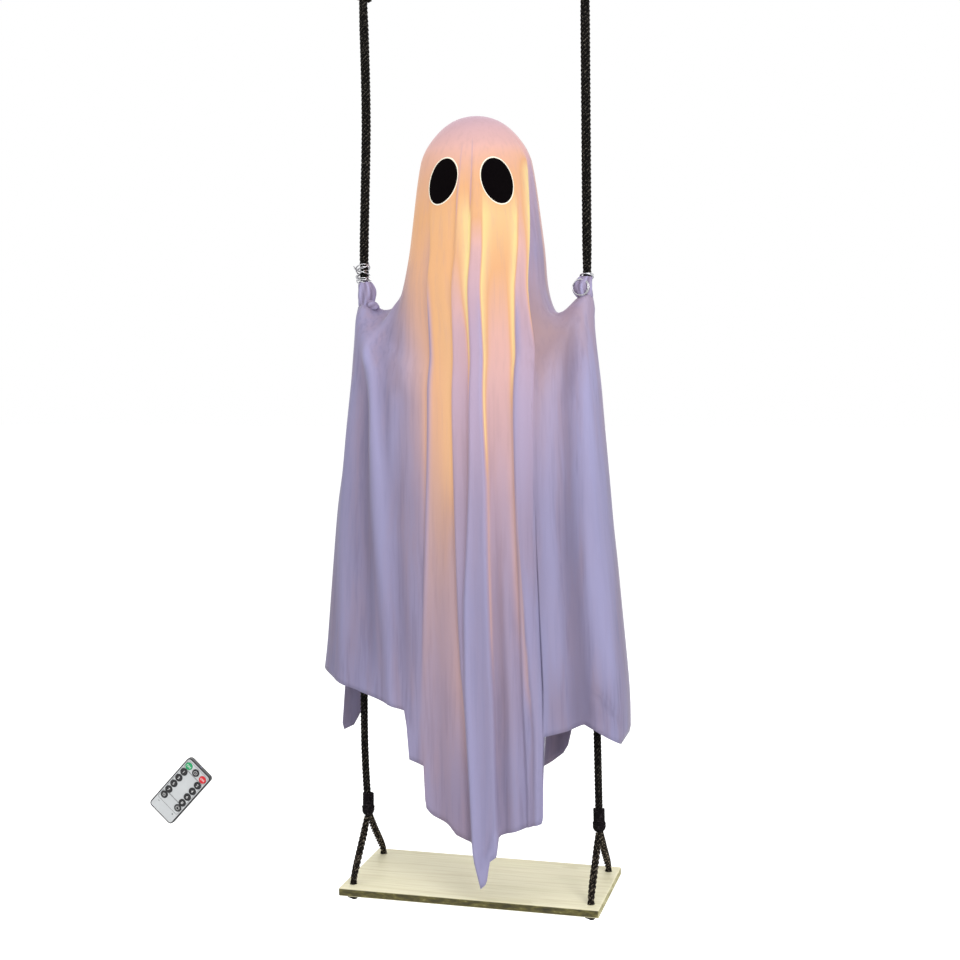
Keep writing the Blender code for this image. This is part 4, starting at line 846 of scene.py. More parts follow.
# The hem, as (share of the half width, drop), from left to right
FRONT_HEM = (
    (-1.0, 0.8705), (-0.925, 0.8740), (-0.75, 0.8841), (-0.537, 0.8958), (-0.335, 0.9080), (-0.318, 0.9640),
    (-0.222, 0.9708), (-0.213, 1.0190), (-0.175, 1.0275), (-0.068, 1.0380), (-0.017, 1.0495), (0.090, 1.0585),
    (0.105, 1.0765), (0.133, 1.0994), (0.150, 1.1108), (0.183, 1.1009), (0.203, 1.0764), (0.246, 1.0703),
    (0.258, 1.0470), (0.525, 1.0295), (0.536, 1.0187), (0.522, 0.9665), (0.530, 0.9297), (0.71, 0.9215),
    (0.778, 0.9168), (0.835, 0.9236), (0.975, 0.9447), (1.0, 0.9369),
)
BACK_HEM = (
    (-1.0, 0.8705), (-0.955, 0.878), (-0.942, 0.955), (-0.925, 0.966), (-0.873, 0.960), (-0.855, 0.945),
    (-0.838, 0.930), (-0.825, 0.900), (-0.76, 0.890), (-0.60, 0.889), (-0.35, 0.931), (-0.20, 1.007), (0.0, 1.056),
    (0.20, 1.030), (0.33, 1.010), (0.41, 1.000), (0.51, 0.985), (0.545, 0.973), (0.565, 0.945), (0.62, 0.935),
    (0.70, 0.926), (0.85, 0.928), (1.0, 0.9369),
)


# How far each side of the hanging cloth is drawn in, as (drop, mm)
DRAWN_IN = {
    -1: ((0.43, -1), (0.45, 0.5), (0.468, 3.8), (0.50, 4.5), (0.53, 6), (0.565, 7), (0.61, 6), (0.64, 5),
         (0.672, 2.4), (0.80, 2.2), (0.85, 2), (0.88, 0)),
    1: ((0.43, 4), (0.45, 7.5), (0.469, 8.5), (0.496, 8.5), (0.531, 6.5), (0.565, 7.2), (0.667, 6.2), (0.70, 6.2),
        (0.735, 4.6), (0.80, 3.4), (0.838, 2.3), (0.88, 1.2), (0.93, 1)),
}


def hem_drop(share, face):
    return between_points(FRONT_HEM if face < 0 else BACK_HEM, share)


def drop_point(share, face, down):
    """A point between the hands' level and the hem, on a section that widens and rounds out."""
    top = yoke_point(share, face)
    drop = top.z + (-hem_drop(share, face) - top.z) * down
    level = (-HAND_DROP - drop) / (TAIL_DROP - HAND_DROP)
    widening = min(1.0, (level / 0.7) ** 0.8)
    half_width = ROPE_HALF_HAND + HAND_OUTSET + (HEM_HALF_WIDTH - ROPE_HALF_HAND - HAND_OUTSET) * widening
    depth = YOKE_DEPTH + (HEM_DEPTH - YOKE_DEPTH) * widening
    place = section(share, face, half_width, depth,
                    YOKE_ROUNDNESS + (HEM_ROUNDNESS - YOKE_ROUNDNESS) * widening ** 0.7)
    place.x += HEM_SHIFT * widening
    place.x -= math.copysign(between_points(DRAWN_IN[-1 if share < 0 else 1], -drop), share) * MM * abs(share)
    place.z = drop
    return place


# Folds of the front, as runs of (drop, share). A pleat's edge stands proud on one side and falls off sharply.
EDGES = (
    # name, route, height mm, side of the raised part, its width mm, (fade in, full, full, fade out) drops
    ("b1", ((0.33, -0.36), (0.376, -0.305), (0.439, -0.272), (0.55, -0.235), (0.64, -0.225), (0.74, -0.223),
            (0.95, -0.235)), 3.0, 1, 8, (0.30, 0.40, 0.72, 0.92)),
    ("b2", ((0.27, -0.007), (0.33, -0.035), (0.44, -0.035), (0.55, -0.040), (0.64, -0.025), (0.73, -0.007),
            (0.82, 0.012), (0.91, 0.050), (1.01, 0.075), (1.11, 0.10)), 4.5, 1, 9, (0.262, 0.33, 1.1, 1.2)),
    ("b3", ((0.28, 0.127), (0.34, 0.113), (0.44, 0.103), (0.55, 0.097), (0.63, 0.093), (0.73, 0.068), (0.78, 0.052),
            (0.88, 0.058), (0.98, 0.078), (1.11, 0.10)), 5.5, 1, 12, (0.262, 0.33, 1.1, 1.2)),
    ("b4", ((0.27, 0.213), (0.33, 0.215), (0.39, 0.205), (0.46, 0.200), (0.55, 0.193), (0.64, 0.218), (0.73, 0.215),
            (0.82, 0.220), (0.89, 0.235), (1.0, 0.245), (1.11, 0.26)), 5.5, -1, 12, (0.29, 0.36, 1.1, 1.2)),
    ("b5", ((0.30, 0.615), (0.33, 0.594), (0.36, 0.562), (0.395, 0.532), (0.44, 0.496), (0.48, 0.458),
            (0.55, 0.417), (0.64, 0.414), (0.78, 0.417), (0.89, 0.415), (1.0, 0.438)), 4.5, 1, 10,
     (0.30, 0.38, 1.0, 1.2)),
    ("b6", ((0.26, 0.93), (0.29, 0.845), (0.327, 0.772), (0.36, 0.716), (0.395, 0.665), (0.44, 0.640),
            (0.484, 0.600), (0.55, 0.560), (0.70, 0.52)), 4.5, -1, 9, (0.27, 0.36, 0.50, 0.66)),
    ("b7", ((0.70, 0.430), (0.80, 0.448), (0.865, 0.460), (0.93, 0.482)), 4.0, 1, 16, (0.68, 0.82, 1.0, 1.2)),
    ("b8", ((1.040, 0.235), (1.060, 0.205), (1.085, 0.150), (1.100, 0.125)), 2.5, 1, 12, (1.035, 1.05, 1.1, 1.2)),
)
PANEL_EDGES = ("b1", "b2", "b3", "b4", "b5", "b6")
ROUTES = {edge[0]: edge[1] for edge in EDGES}
RIDGES = (
    # route, height mm, width mm, fade drops
    (((0.458, -0.922), (0.516, -0.720), (0.574, -0.677), (0.688, -0.573), (0.78, -0.497), (0.826, -0.465),
      (0.95, -0.40)), 4.5, 10, (0.45, 0.52, 0.9, 1.1)),
    (((0.44, -0.90), (0.515, -0.640), (0.60, -0.590), (0.70, -0.45), (0.9, -0.33)), -4.0, 9, (0.45, 0.50, 0.56, 0.72)),
    (((0.50, -0.80), (0.60, -0.757), (0.69, -0.690), (0.78, -0.640),
     (0.852, -0.600)), -5.0, 9, (0.48, 0.58, 0.8, 0.93)),
    (((0.50, -0.95), (0.60, -0.90), (0.70, -0.85), (0.80, -0.80), (0.88, -0.78)), 4.0, 13, (0.48, 0.60, 0.9, 1.1)),
    (((0.47, -0.672), (0.55, -0.458), (0.66, -0.425), (0.78, -0.390),
     (0.884, -0.348)), -3.5, 12, (0.46, 0.52, 0.8, 0.95)),
    (((0.45, 0.930), (0.55, 0.907), (0.61, 0.903), (0.69, 0.910), (0.78, 0.930), (0.89, 0.930)), 4.5, 9,
     (0.45, 0.52, 1.0, 1.1)),
    (((0.45, 0.90), (0.55, 0.805), (0.685, 0.782), (0.78, 0.790), (0.88, 0.790)), -5.0, 9, (0.45, 0.52, 0.85, 1.0)),
    (((0.47, 0.808), (0.55, 0.640), (0.684, 0.607), (0.775, 0.620), (0.888, 0.637)), 4.0, 15, (0.46, 0.55, 0.9, 1.1)),
    (((0.60, 0.70), (0.70, 0.72), (0.80, 0.725), (0.92, 0.72)), -3.5, 8, (0.62, 0.74, 0.95, 1.1)),
    (((0.65, 0.86), (0.80, 0.855), (0.93, 0.85)), 3.0, 6, (0.66, 0.76, 0.95, 1.1)),
    (((0.60, 0.265), (0.75, 0.275), (1.03, 0.30)), -2.2, 5, (0.60, 0.72, 1.1, 1.2)),
    (((0.68, 0.32), (0.80, 0.335), (1.03, 0.37)), 3.2, 8, (0.68, 0.80, 1.1, 1.2)),
    (((0.46, 0.53), (0.55, 0.475), (0.66, 0.46)), 2.5, 8, (0.46, 0.52, 0.62, 0.74)),
    (((0.60, -0.12), (0.80, -0.13), (1.03, -0.10)), -2.5, 9, (0.58, 0.72, 1.1, 1.2)),
    (((0.872, 0.80), (0.880, 0.85), (0.925, 0.985)), -2.5, 4, (0.868, 0.885, 0.93, 0.95)),
    (((0.435, -0.86), (0.47, -0.80), (0.53, -0.765)), 3.5, 6, (0.43, 0.445, 0.47, 0.56)),
    (((0.44, 0.93), (0.49, 0.865), (0.56, 0.83)), -3.5, 5, (0.44, 0.455, 0.50, 0.57)),
    (((0.255, 0.83), (0.27, 0.89), (0.30, 0.95)), -2.0, 2.6, (0.253, 0.262, 0.288, 0.308)),
)
# Broad painted lights and shades of the front, as (share, half its width, drop, half its height, how light)
LIGHT_AND_SHADE_PATCHES = (
    (0.71, 0.20, 0.482, 0.046, -1.25),
    (0.94, 0.07, 0.450, 0.030, 0.60),
    (-0.53, 0.19, 0.600, 0.120, 0.95),
    (0.94, 0.11, 0.700, 0.120, 0.85),
    (0.88, 0.10, 0.905, 0.030, -0.80),
    (0.66, 0.10, 0.895, 0.040, -0.50),
    (-0.80, 0.12, 0.860, 0.040, -0.50),
)


# Metres of cloth for a share of 1, at a drop
ARC_SCALE = ((0.25, 0.085), (0.30, 0.104), (0.43, 0.132), (0.52, 0.155), (0.9, 0.190))
# Heights of the back's waves where they start and how much they grow, and of the wrinkles
WAVE_HEIGHT, WAVE_GAIN = 1.5 * MM, 7.5 * MM
NARROW_WRINKLE, BROAD_WRINKLE = 0.75 * MM, 1.4 * MM
# Drops between which the back's waves fade in and grow, and the wrinkles fade in
WAVE_FADE, WAVE_GROWTH, WRINKLE_FADE = (0.29, 0.45), (0.36, 0.95), (0.28, 0.50)


def fade(drop, stops):
    return eased(drop, stops[0], stops[1]) * (1 - eased(drop, stops[2], stops[3]))


def arc_scale(drop):
    return between_points(ARC_SCALE, drop)


def edge_height(offset, width):
    """A pleat's edge: low before it, sharply up, then slowly down again."""
    rise = 1 / (1 + math.exp(-offset / 0.9))
    return rise * math.exp(-max(0.0, offset) / width) - 0.45 * (1 - rise) * math.exp(min(0.0, offset) / (width * 0.7))


def front_folds(share, drop):
    """How far the folds push the front out at a place, in metres."""
    scale = arc_scale(drop) / MM
    height = 0.0
    for _, route, tall, side, width, stops in EDGES:
        strength = fade(drop, stops)
        if strength:
            offset = (share - between_points(route, drop)) * scale * side
            height += tall * strength * edge_height(offset, width)
    for route, tall, width, stops in RIDGES:
        strength = fade(drop, stops)
        if strength:
            offset = (share - between_points(route, drop)) * scale
            height += tall * strength * math.exp(-(offset / width) ** 2)
    return height * MM


def back_folds(share, drop):
    wave = math.cos(math.pi * 5.6 * share + 1.5 * math.sin(2.3 * share + 6 * drop))
    finer = math.cos(math.pi * 11.3 * share + 1.0 + 2.0 * drop)
    tall = WAVE_HEIGHT + WAVE_GAIN * eased(drop, *WAVE_GROWTH)
    return (wave + 0.35 * finer) * tall * (1 - abs(share) ** 3) * eased(drop, *WAVE_FADE)


def wrinkles(share, face, drop):
    """Long, shallow wrinkles that run down between the pleats."""
    across = share * arc_scale(drop) / MM
    narrow = noise.noise(Vector((across / 11, 5.0 * drop, 3.0 * face)))
    broad = noise.noise(Vector((across / 27, 3.0 * drop, 9.0 + 3.0 * face)))
    return (NARROW_WRINKLE * narrow + BROAD_WRINKLE * broad) * eased(drop, *WRINKLE_FADE)


def fold_height(share, face, drop):
    folds = front_folds if face < 0 else back_folds
    return (folds(share, drop) + wrinkles(share, face, drop)) * eased(1 - abs(share), 0.0, 0.06)


DOME_ROWS, SKIRT_ROWS, SHOULDER_ROWS, DROP_ROWS = 24, 28, 18, 64
SHOULDER_DROP = HAND_DROP + 30 * MM
PEAK_FADE = (HAND_DROP + 10 * MM, HAND_DROP + 110 * MM)
TAIL_SWING_DROP = 0.92
SHEET_THICKNESS = 0.7 * MM
# FULL_FOLD is the fold height that gives full painted shade or highlight
FULL_FOLD = 6 * MM
# Across the front the columns follow the pleats' edges down, and lie closer together beside them
WARP_DROPS = (0.27, 0.86)
WARP_ROOT = 0.55


def edge_shares(drop):
    drop = min(WARP_DROPS[1], max(WARP_DROPS[0], drop))
    shares = [-1.0] + [between_points(ROUTES[name], drop) for name in PANEL_EDGES] + [1.0]
    for k in range(1, len(shares)):
        shares[k] = max(shares[k], shares[k - 1] + 0.012)
    return shares


def warped(share, drop):
    """Where a column that is at a share at WARP_ROOT lies at another drop."""
    here, there = edge_shares(WARP_ROOT), edge_shares(drop)
    for a, b, low, high in zip(here, here[1:], there, there[1:]):
        if share <= b:
            return low + (high - low) * (share - a) / (b - a)
    return 1.0


def column_shares(fine=0.9, coarse=2.5, near=5.0):
    """The front's columns at WARP_ROOT, from the left side to just short of the right one."""
    scale = arc_scale(WARP_ROOT) / MM
    knots = edge_shares(WARP_ROOT)[1:-1]
    shares, share = [], -1.0
    while share < 1.0 - coarse / scale / 2:
        shares.append(share)
        ahead = [k for k in knots if k > share + 1e-6]
        gap = min([abs(share - k) for k in knots]) * scale
        step = (fine if gap < near else coarse) / scale
        if ahead and share + step > ahead[0] - fine / scale / 3:
            share = ahead[0]
        else:
            share += step
    return shares


def cloth_column(share, face):
    """(share, place) of the cloth's points from below the crown to the hem, without folds."""
    column = []

    def add(make, drop):
        at = warped(share, drop) if face < 0 else share
        place = make(at)
        if face < 0:
            at = warped(share, -place.z)
            place = make(at)
        column.append((at, place))

    last = math.acos(1 - SKIRT_START / HEAD_RADIUS)
    for row in range(1, DOME_ROWS):
        fall = HEAD_RADIUS * (1 - math.cos(last * row / DOME_ROWS))
        add(lambda at: on_head(at, face, fall), HEAD_TOP_DROP + fall)
    for row in range(SKIRT_ROWS):
        fall = SKIRT_START + (NECK_LENGTH - SKIRT_START) * row / SKIRT_ROWS
        add(lambda at: on_head(at, face, fall), HEAD_TOP_DROP + fall)
    for row in range(SHOULDER_ROWS):
        across = row / SHOULDER_ROWS
        add(lambda at: shoulder_point(at, face, across), SHOULDER_DROP)
    for row in range(DROP_ROWS + 1):
        down = row / DROP_ROWS
        add(lambda at: drop_point(at, face, down), HAND_DROP + (TAIL_DROP - HAND_DROP) * down)
    shares = [at for at, _ in column]
    places = smoothed([place for _, place in column], 9)
    for place in places[DOME_ROWS + SKIRT_ROWS - 1:]:
        place.z += peak_at_hand(place) * (1 - eased(-place.z, *PEAK_FADE))
    return list(zip(shares, places))


def shoulder_point(share, face, across):
    neck, yoke = on_head(share, face, NECK_LENGTH), yoke_point(share, face)
    side = -1 if share < 0 else 1
    place = neck.lerp(yoke, across)
    place.z -= SHOULDER_SAG[side] * abs(share) ** 3 * math.sin(math.pi * across ** SHOULDER_SKEW[side]) ** 0.8
    return place


def smoothed(column, rounds):
    """The column with its bends below the dome rounded off, ends kept."""
    for _ in range(rounds):
        kept = column[:DOME_ROWS - 2]
        soft = column[DOME_ROWS - 3:]
        column = kept + [(a + b * 2 + c) / 4 for a, b, c in zip(soft, soft[1:], soft[2:])] + [column[-1]]
    return column


# Light that shows through each panel between the pleats' edges, left to right, as (drop, glow, hue):
# a hue of 0 is mauve pink, 0.5 orange peach and 1 pale yellow.
PANELS = (
    ((0.228, 0.80, 0.03), (0.245, 0.88, 0.10), (0.262, 0.92, 0.20), (0.275, 0.95, 0.32), (0.30, 0.96, 0.42),
     (0.345, 1.0, 0.50), (0.385, 1.0, 0.46), (0.475, 0.80, 0.44), (0.554, 0.42, 0.40), (0.667, 0.13, 0.30),
     (0.78, 0.04, 0.30)),
    ((0.228, 0.80, 0.03), (0.245, 0.90, 0.11), (0.262, 0.94, 0.20), (0.275, 0.97, 0.30), (0.30, 0.97, 0.44),
     (0.345, 1.0, 0.54), (0.385, 1.0, 0.52), (0.475, 0.98, 0.54), (0.554, 0.86, 0.47), (0.667, 0.50, 0.50),
     (0.78, 0.28, 0.45), (0.88, 0.17, 0.35), (1.0, 0.07, 0.30)),
    ((0.228, 0.80, 0.03), (0.245, 0.92, 0.11), (0.262, 0.94, 0.20), (0.275, 0.98, 0.28), (0.30, 0.97, 0.44),
     (0.345, 1.0, 0.64), (0.385, 0.95, 0.50), (0.475, 0.72, 0.14), (0.554, 0.52, 0.12), (0.667, 0.24, 0.20),
     (0.78, 0.10, 0.20), (1.0, 0.03, 0.20)),
    ((0.228, 0.80, 0.03), (0.245, 0.94, 0.11), (0.262, 0.94, 0.20), (0.275, 1.0, 0.28), (0.30, 0.98, 0.46),
     (0.345, 0.98, 0.52), (0.385, 0.90, 0.18), (0.475, 0.66, 0.00), (0.554, 0.50, 0.00), (0.667, 0.14, 0.10),
     (0.78, 0.03, 0.10), (1.0, 0.0, 0.10)),
    ((0.228, 0.80, 0.03), (0.245, 0.96, 0.11), (0.262, 0.94, 0.20), (0.275, 1.0, 0.32), (0.30, 1.0, 0.48),
     (0.345, 1.0, 0.72), (0.385, 1.0, 0.56), (0.475, 0.94, 0.27), (0.554, 0.78, 0.20), (0.667, 0.42, 0.14),
     (0.78, 0.18, 0.12), (0.88, 0.10, 0.15), (1.0, 0.02, 0.10)),
    ((0.228, 0.80, 0.03), (0.245, 0.96, 0.11), (0.262, 0.94, 0.20), (0.275, 1.0, 0.36), (0.30, 0.96, 0.44),
     (0.345, 0.95, 0.38), (0.385, 0.92, 0.22), (0.475, 0.56, 0.08), (0.554, 0.36, 0.05), (0.667, 0.22, 0.00),
     (0.78, 0.07, 0.00), (1.0, 0.0, 0.0)),
    ((0.228, 0.80, 0.03), (0.245, 0.90, 0.11), (0.262, 0.94, 0.20), (0.275, 0.72, 0.16), (0.30, 0.45, 0.05),
     (0.345, 0.30, 0.02), (0.385, 0.16, 0.0), (0.43, 0.20, 0.42), (0.475, 0.32, 0.46), (0.554, 0.20, 0.30),
     (0.667, 0.06, 0.1), (0.78, 0.0, 0.0)),
)
# How far the light reaches to the left of the first edge, as (drop, mm)
LEFT_REACH = ((0.36, 300.0), (0.40, 85.0), (0.43, 56.0), (0.475, 38.0), (0.554, 26.0), (0.70, 30.0))
EDGE_SOFTNESS = ((0.25, 16.0), (0.30, 9.0), (0.345, 2.0), (0.43, 0.7), (0.70, 0.9), (0.85, 2.5), (1.05, 6.0))

# Stripes of brighter or darker painted light beside the edges, as (edge, side, glow, hue, widths mm at drops, fades)
STRIPES = (
    ("b3", -1, 1.0, 1.0, ((0.34, 10.5), (0.385, 9.0), (0.475, 3.2), (0.55, 1.6)), (0.315, 0.355, 0.49, 0.57)),
    ("b4", 1, 1.0, 0.93, ((0.34, 10.0), (0.385, 8.5), (0.475, 6.0), (0.55, 3.6), (0.667, 2.0)),
     (0.31, 0.35, 0.60, 0.72)),
    ("b5", -1, 1.0, 0.95, ((0.34, 8.0), (0.385, 6.5), (0.475, 5.0), (0.55, 3.5), (0.667, 1.6)),
     (0.31, 0.36, 0.56, 0.70)),
    ("b6", -1, 1.0, 0.96, ((0.285, 11.5), (0.345, 9.0), (0.37, 6.5), (0.395, 4.4), (0.46, 3.0)),
     (0.272, 0.295, 0.42, 0.50)),
    ("b2", -1, 0.95, 0.58, ((0.45, 14.0), (0.55, 15.0), (0.75, 13.0), (0.95, 10.0)), (0.40, 0.50, 0.62, 0.80)),
    ("b2", -1, 0.34, 0.40, ((0.60, 14.0), (0.95, 13.0)), (0.60, 0.75, 0.86, 1.00)),
    ("b1", -1, 0.75, 0.44, ((0.34, 10.0), (0.55, 7.0), (0.75, 5.0)), (0.34, 0.40, 0.55, 0.74)),
    ("b4", 1, 0.50, 0.36, ((0.60, 3.4), (0.85, 2.4)), (0.58, 0.66, 0.78, 0.90)),
    ("b5", -1, 0.55, 0.36, ((0.50, 5.0), (0.60, 7.0), (0.85, 4.5)), (0.50, 0.58, 0.72, 0.86)),
    ("b2", 1, 0.78, 0.20, ((0.262, 1.0), (0.345, 2.2)), (0.262, 0.272, 0.33, 0.37)),
    ("b3", -1, 0.70, 0.16, ((0.255, 1.0), (0.345, 2.4)), (0.255, 0.266, 0.325, 0.35)),
    ("b1", 1, 0.22, 0.05, ((0.40, 5.0), (0.70, 4.0)), (0.40, 0.47, 0.70, 0.85)),
    ("b5", 1, 0.20, 0.02, ((0.40, 5.0), (0.70, 4.0)), (0.42, 0.48, 0.60, 0.75)),
    ("b4", -1, 0.30, 0.02, ((0.40, 4.0), (0.70, 4.0)), (0.42, 0.48, 0.62, 0.75)),
    ("b7", -1, 0.30, 0.40, ((0.70, 7.0), (0.92, 7.0)), (0.62, 0.74, 0.86, 0.93)),
)


# Light on the back, as (drop, glow) and (drop, how wide)
BACK_GLOW = ((0.228, 0.55), (0.27, 0.85), (0.345, 0.92), (0.475, 0.75), (0.60, 0.45), (0.78, 0.18), (1.0, 0.04))
BACK_SPREAD = ((0.23, 3.0), (0.40, 1.1), (0.47, 0.55), (0.7, 0.42))


def panel_light(panel, drop):
    glow = between_points([(d, g) for d, g, _ in panel], drop)
    return glow, between_points([(d, h) for d, _, h in panel], drop)


def light_at(share, face, drop):
    """(glow, hue) of the light behind the cloth at a place."""
    if face > 0:
        streaks = 0.86 + 0.14 * math.cos(27 * share + 3 * math.sin(8 * drop))
        sideways = math.exp(-abs(share / between_points(BACK_SPREAD, drop)) ** 2.6)
        return between_points(BACK_GLOW, drop) * streaks * sideways, 0.30 + 0.15 * math.cos(19 * share)
    scale = arc_scale(drop) / MM
    soft = between_points(EDGE_SOFTNESS, drop)
    glow, hue = panel_light(PANELS[0], drop)
    left = -(share - between_points(ROUTES["b1"], drop)) * scale
    glow *= math.exp(-(max(0.0, left) / between_points(LEFT_REACH, drop)) ** 2)
    for edge, panel in zip(PANEL_EDGES, PANELS[1:]):
        offset = (share - between_points(ROUTES[edge], drop)) * scale
        part = eased(offset, -soft, soft)
        if part:
            near_glow, near_hue = panel_light(panel, drop)
            if edge == "b6":
                far = between_points(((0.36, 300.0), (0.43, 60.0), (0.53, 36.0), (0.70, 30.0)), drop)
                near_glow *= math.exp(-(max(0.0, offset) / far) ** 2)
            glow += (near_glow - glow) * part
            hue += (near_hue - hue) * part
    for edge, side, bright, tint, widths, stops in STRIPES:
        offset = (share - between_points(ROUTES[edge], drop)) * scale * side
        if offset > -1.0:
            width = between_points(widths, drop)
            amount = fade(drop, stops) * eased(offset, -0.4, 0.6) * math.exp(-(max(0.0, offset) / width) ** 2.4)
            glow += (bright - glow) * amount
            hue += (tint - hue) * amount
    return min(1.0, max(0.0, glow)), min(1.0, max(0.0, hue))


def light_and_shade_at(share, face, drop):
    """How much lighter or darker the painted shading of the front is at a place than its folds make it."""
    if face > 0:
        return 0.0
    return sum(light * math.exp(-((share - middle) / wide) ** 2 - ((drop - level) / tall) ** 2)
               for middle, wide, level, tall, light in LIGHT_AND_SHADE_PATCHES)


def make_cloth():
    """The whole sheet, hung over the head and tied at both hands."""
    back = 130
    steps = [(share, -1) for share in column_shares()] + [(1 - 2 * i / back, 1) for i in range(back)]
    columns = [cloth_column(share, face) for share, face in steps]
    count, rows = len(columns), len(columns[0])
    verts, glow, hue, fold = [Vector((HEAD_SHIFT, 0, -HEAD_TOP_DROP))], [0.80], [0.03], [0.0]
    for c, (_, face) in enumerate(steps):
        before, after = columns[c - 1], columns[(c + 1) % count]
        for r in range(rows):
            share, place = columns[c][r]
            across = after[r][1] - before[r][1]
            out = Vector((across.y, -across.x, 0))
            if out.length > 1e-9:
                out.normalize()
            drop = -place.z
            height = fold_height(share, face, drop)
            if face > 0 and share < -0.8 and drop > TAIL_SWING_DROP:
                place = place - Vector((0.25 * (drop - TAIL_SWING_DROP), 0, 0))
            verts.append(place + out * height)
            light, tint = light_at(share, face, drop)
            glow.append(light)
            hue.append(tint)
            # painted shade in the valleys and painted highlight on the ridges, by fold height, with the broad painted
            # lights and shades added
            fold.append(max(-1.0, min(1.0, height / FULL_FOLD + light_and_shade_at(share, face, drop))))
    faces = []
    for c in range(count):
        d = (c + 1) % count
        faces.append((0, 1 + c * rows, 1 + d * rows))
        for r in range(rows - 1):
            faces.append((1 + c * rows + r, 1 + c * rows + r + 1, 1 + d * rows + r + 1, 1 + d * rows + r))
    verts, faces, values = open_hands(verts, faces, {"glow": glow, "hue": hue, "fold": fold})
    cloth = add_piece("ghost_sheet", verts, faces, finish["cloth"], "ghost", "cloth", values=values)
    skin = cloth.modifiers.new("thickness", "SOLIDIFY")
    skin.thickness = SHEET_THICKNESS
    skin.offset = 0


# Room that the sheet leaves round each rope, and round the arm wire's eye on it, as (drop, mm)
ROPE_ROOM = ((0.434, 5.5), (0.446, 8.0), (0.454, 8.0), (0.470, 5.5))
HAND_HOLE = 5.2 * MM
# Where the sheet may meet a rope: the top of the hand, the foot of its opening, and the end of the room
HAND_REACH = (HAND_DROP - 30 * MM, HAND_DROP + 30 * MM, HAND_DROP + 160 * MM)


def open_hands(verts, faces, values):
    """Parts the sheet round each rope, where the gathered corner hides the opening."""
    gone = set()
    for i, v in enumerate(verts):
        drop = -v.z
        if HAND_REACH[0] < drop < HAND_REACH[2]:
            side = -1 if v.x < 0 else 1
            rope = Vector((side * rope_x(drop, side), 0, v.z))
            clear = between_points(ROPE_ROOM, drop) * MM
            away = v - rope
            if away.length < HAND_HOLE and drop < HAND_REACH[1]:
                gone.add(i)
            elif away.length < clear:
                verts[i] = rope + away.normalized() * clear
    faces = [face for face in faces if not any(i in gone for i in face)]
    used = sorted({i for face in faces for i in face})
    place = {old: new for new, old in enumerate(used)}
    faces = [tuple(place[i] for i in face) for face in faces]
    return [verts[i] for i in used], faces, {k: [v[i] for i in used] for k, v in values.items()}


EYES = ((-1, -0.212, 0.3064, 0.965), (1, 0.387, 0.3072, 0.985))
EYE_WIDTH, EYE_HEIGHT = 37.6 * MM, 51.8 * MM
EYE_LEAN = math.radians(15)
# Sections of a patch and of its edging, as (share of the patch's size, mm above the sheet)
PATCH_RINGS = ((0.0, 1.15), (0.35, 1.15), (0.68, 1.15), (0.90, 1.10), (0.97, 0.95), (1.0, 0.6), (0.99, 0.15),
               (0.6, 0.15), (0.0, 0.15))
EDGING_RINGS = ((0.985, 0.35), (0.995, 0.95), (1.02, 1.10), (1.045, 1.0), (1.055, 0.5), (1.045, 0.15), (1.0, 0.15))


def make_eyes():
    """Black ovals sewn on the face, each in a thin cream edge."""
    for side, share, drop, narrow in EYES:
        name = side_name(side)

        def oval(size, angle, out):
            across = EYE_WIDTH / 2 * narrow * size * math.cos(angle)
            up = EYE_HEIGHT / 2 * size * math.sin(angle)
            lean = side * EYE_LEAN
            flat_x = across * math.cos(lean) - up * math.sin(lean)
            fall = drop - HEAD_TOP_DROP - across * math.sin(lean) - up * math.cos(lean)
            at = share + flat_x / head_radius(fall) / math.radians(90)
            return on_head(at, -1, fall, out + fold_height(at, -1, HEAD_TOP_DROP + fall))

        patch("eye_patch_" + name, finish["felt"], oval, PATCH_RINGS, "eye_" + name)
        patch("eye_edging_" + name, finish["cream"], oval, EDGING_RINGS, None)


def patch(name, material, oval, rings, replaced, segments=56):
    """A thin oval, or with no middle a ring, that follows the face."""
    verts, faces, starts = [], [], []
    for size, out in rings:
        starts.append(len(verts))
        count = segments if size else 1
        verts += [oval(size, math.tau * k / segments, out * MM) for k in range(count)]
    pairs = list(zip(range(len(rings)), range(1, len(rings))))
    if all(size for size, _ in rings):
        pairs.append((len(rings) - 1, 0))
    for a, b in pairs:
        for k in range(segments):
            j = (k + 1) % segments
            ak, aj = (starts[a] + k, starts[a] + j) if rings[a][0] else (starts[a],) * 2
            bk, bj = (starts[b] + k, starts[b] + j) if rings[b][0] else (starts[b],) * 2
            faces.append(tuple(dict.fromkeys((ak, bk, bj, aj))))
    add_piece(name, verts, faces, material, "ghost", replaced)


# Each gathered corner, as (top drop, bottom drop, how far it leans inwards, its swell)
PUFFS = {-1: (0.413, 0.443, 3.6 * MM, 4.6 * MM), 1: (0.4125, 0.4385, 5.6 * MM, 5.2 * MM)}
# How far each puff goes on down inside the sheet
TUCK = {-1: 5.5 * MM, 1: 9.0 * MM}
PUFF_NECK = 5.9 * MM
PUFF_CREASE = 0.95 * MM
PUFF_BORE = 5.3 * MM
# The loose corner beside the left puff
LOBE_CENTRE = Vector((-122.5, -8, -441)) * MM
LOBE_SIZES = Vector((8.0, 5.5, 5.0)) * MM
LOBE_LEAN = math.radians(30)


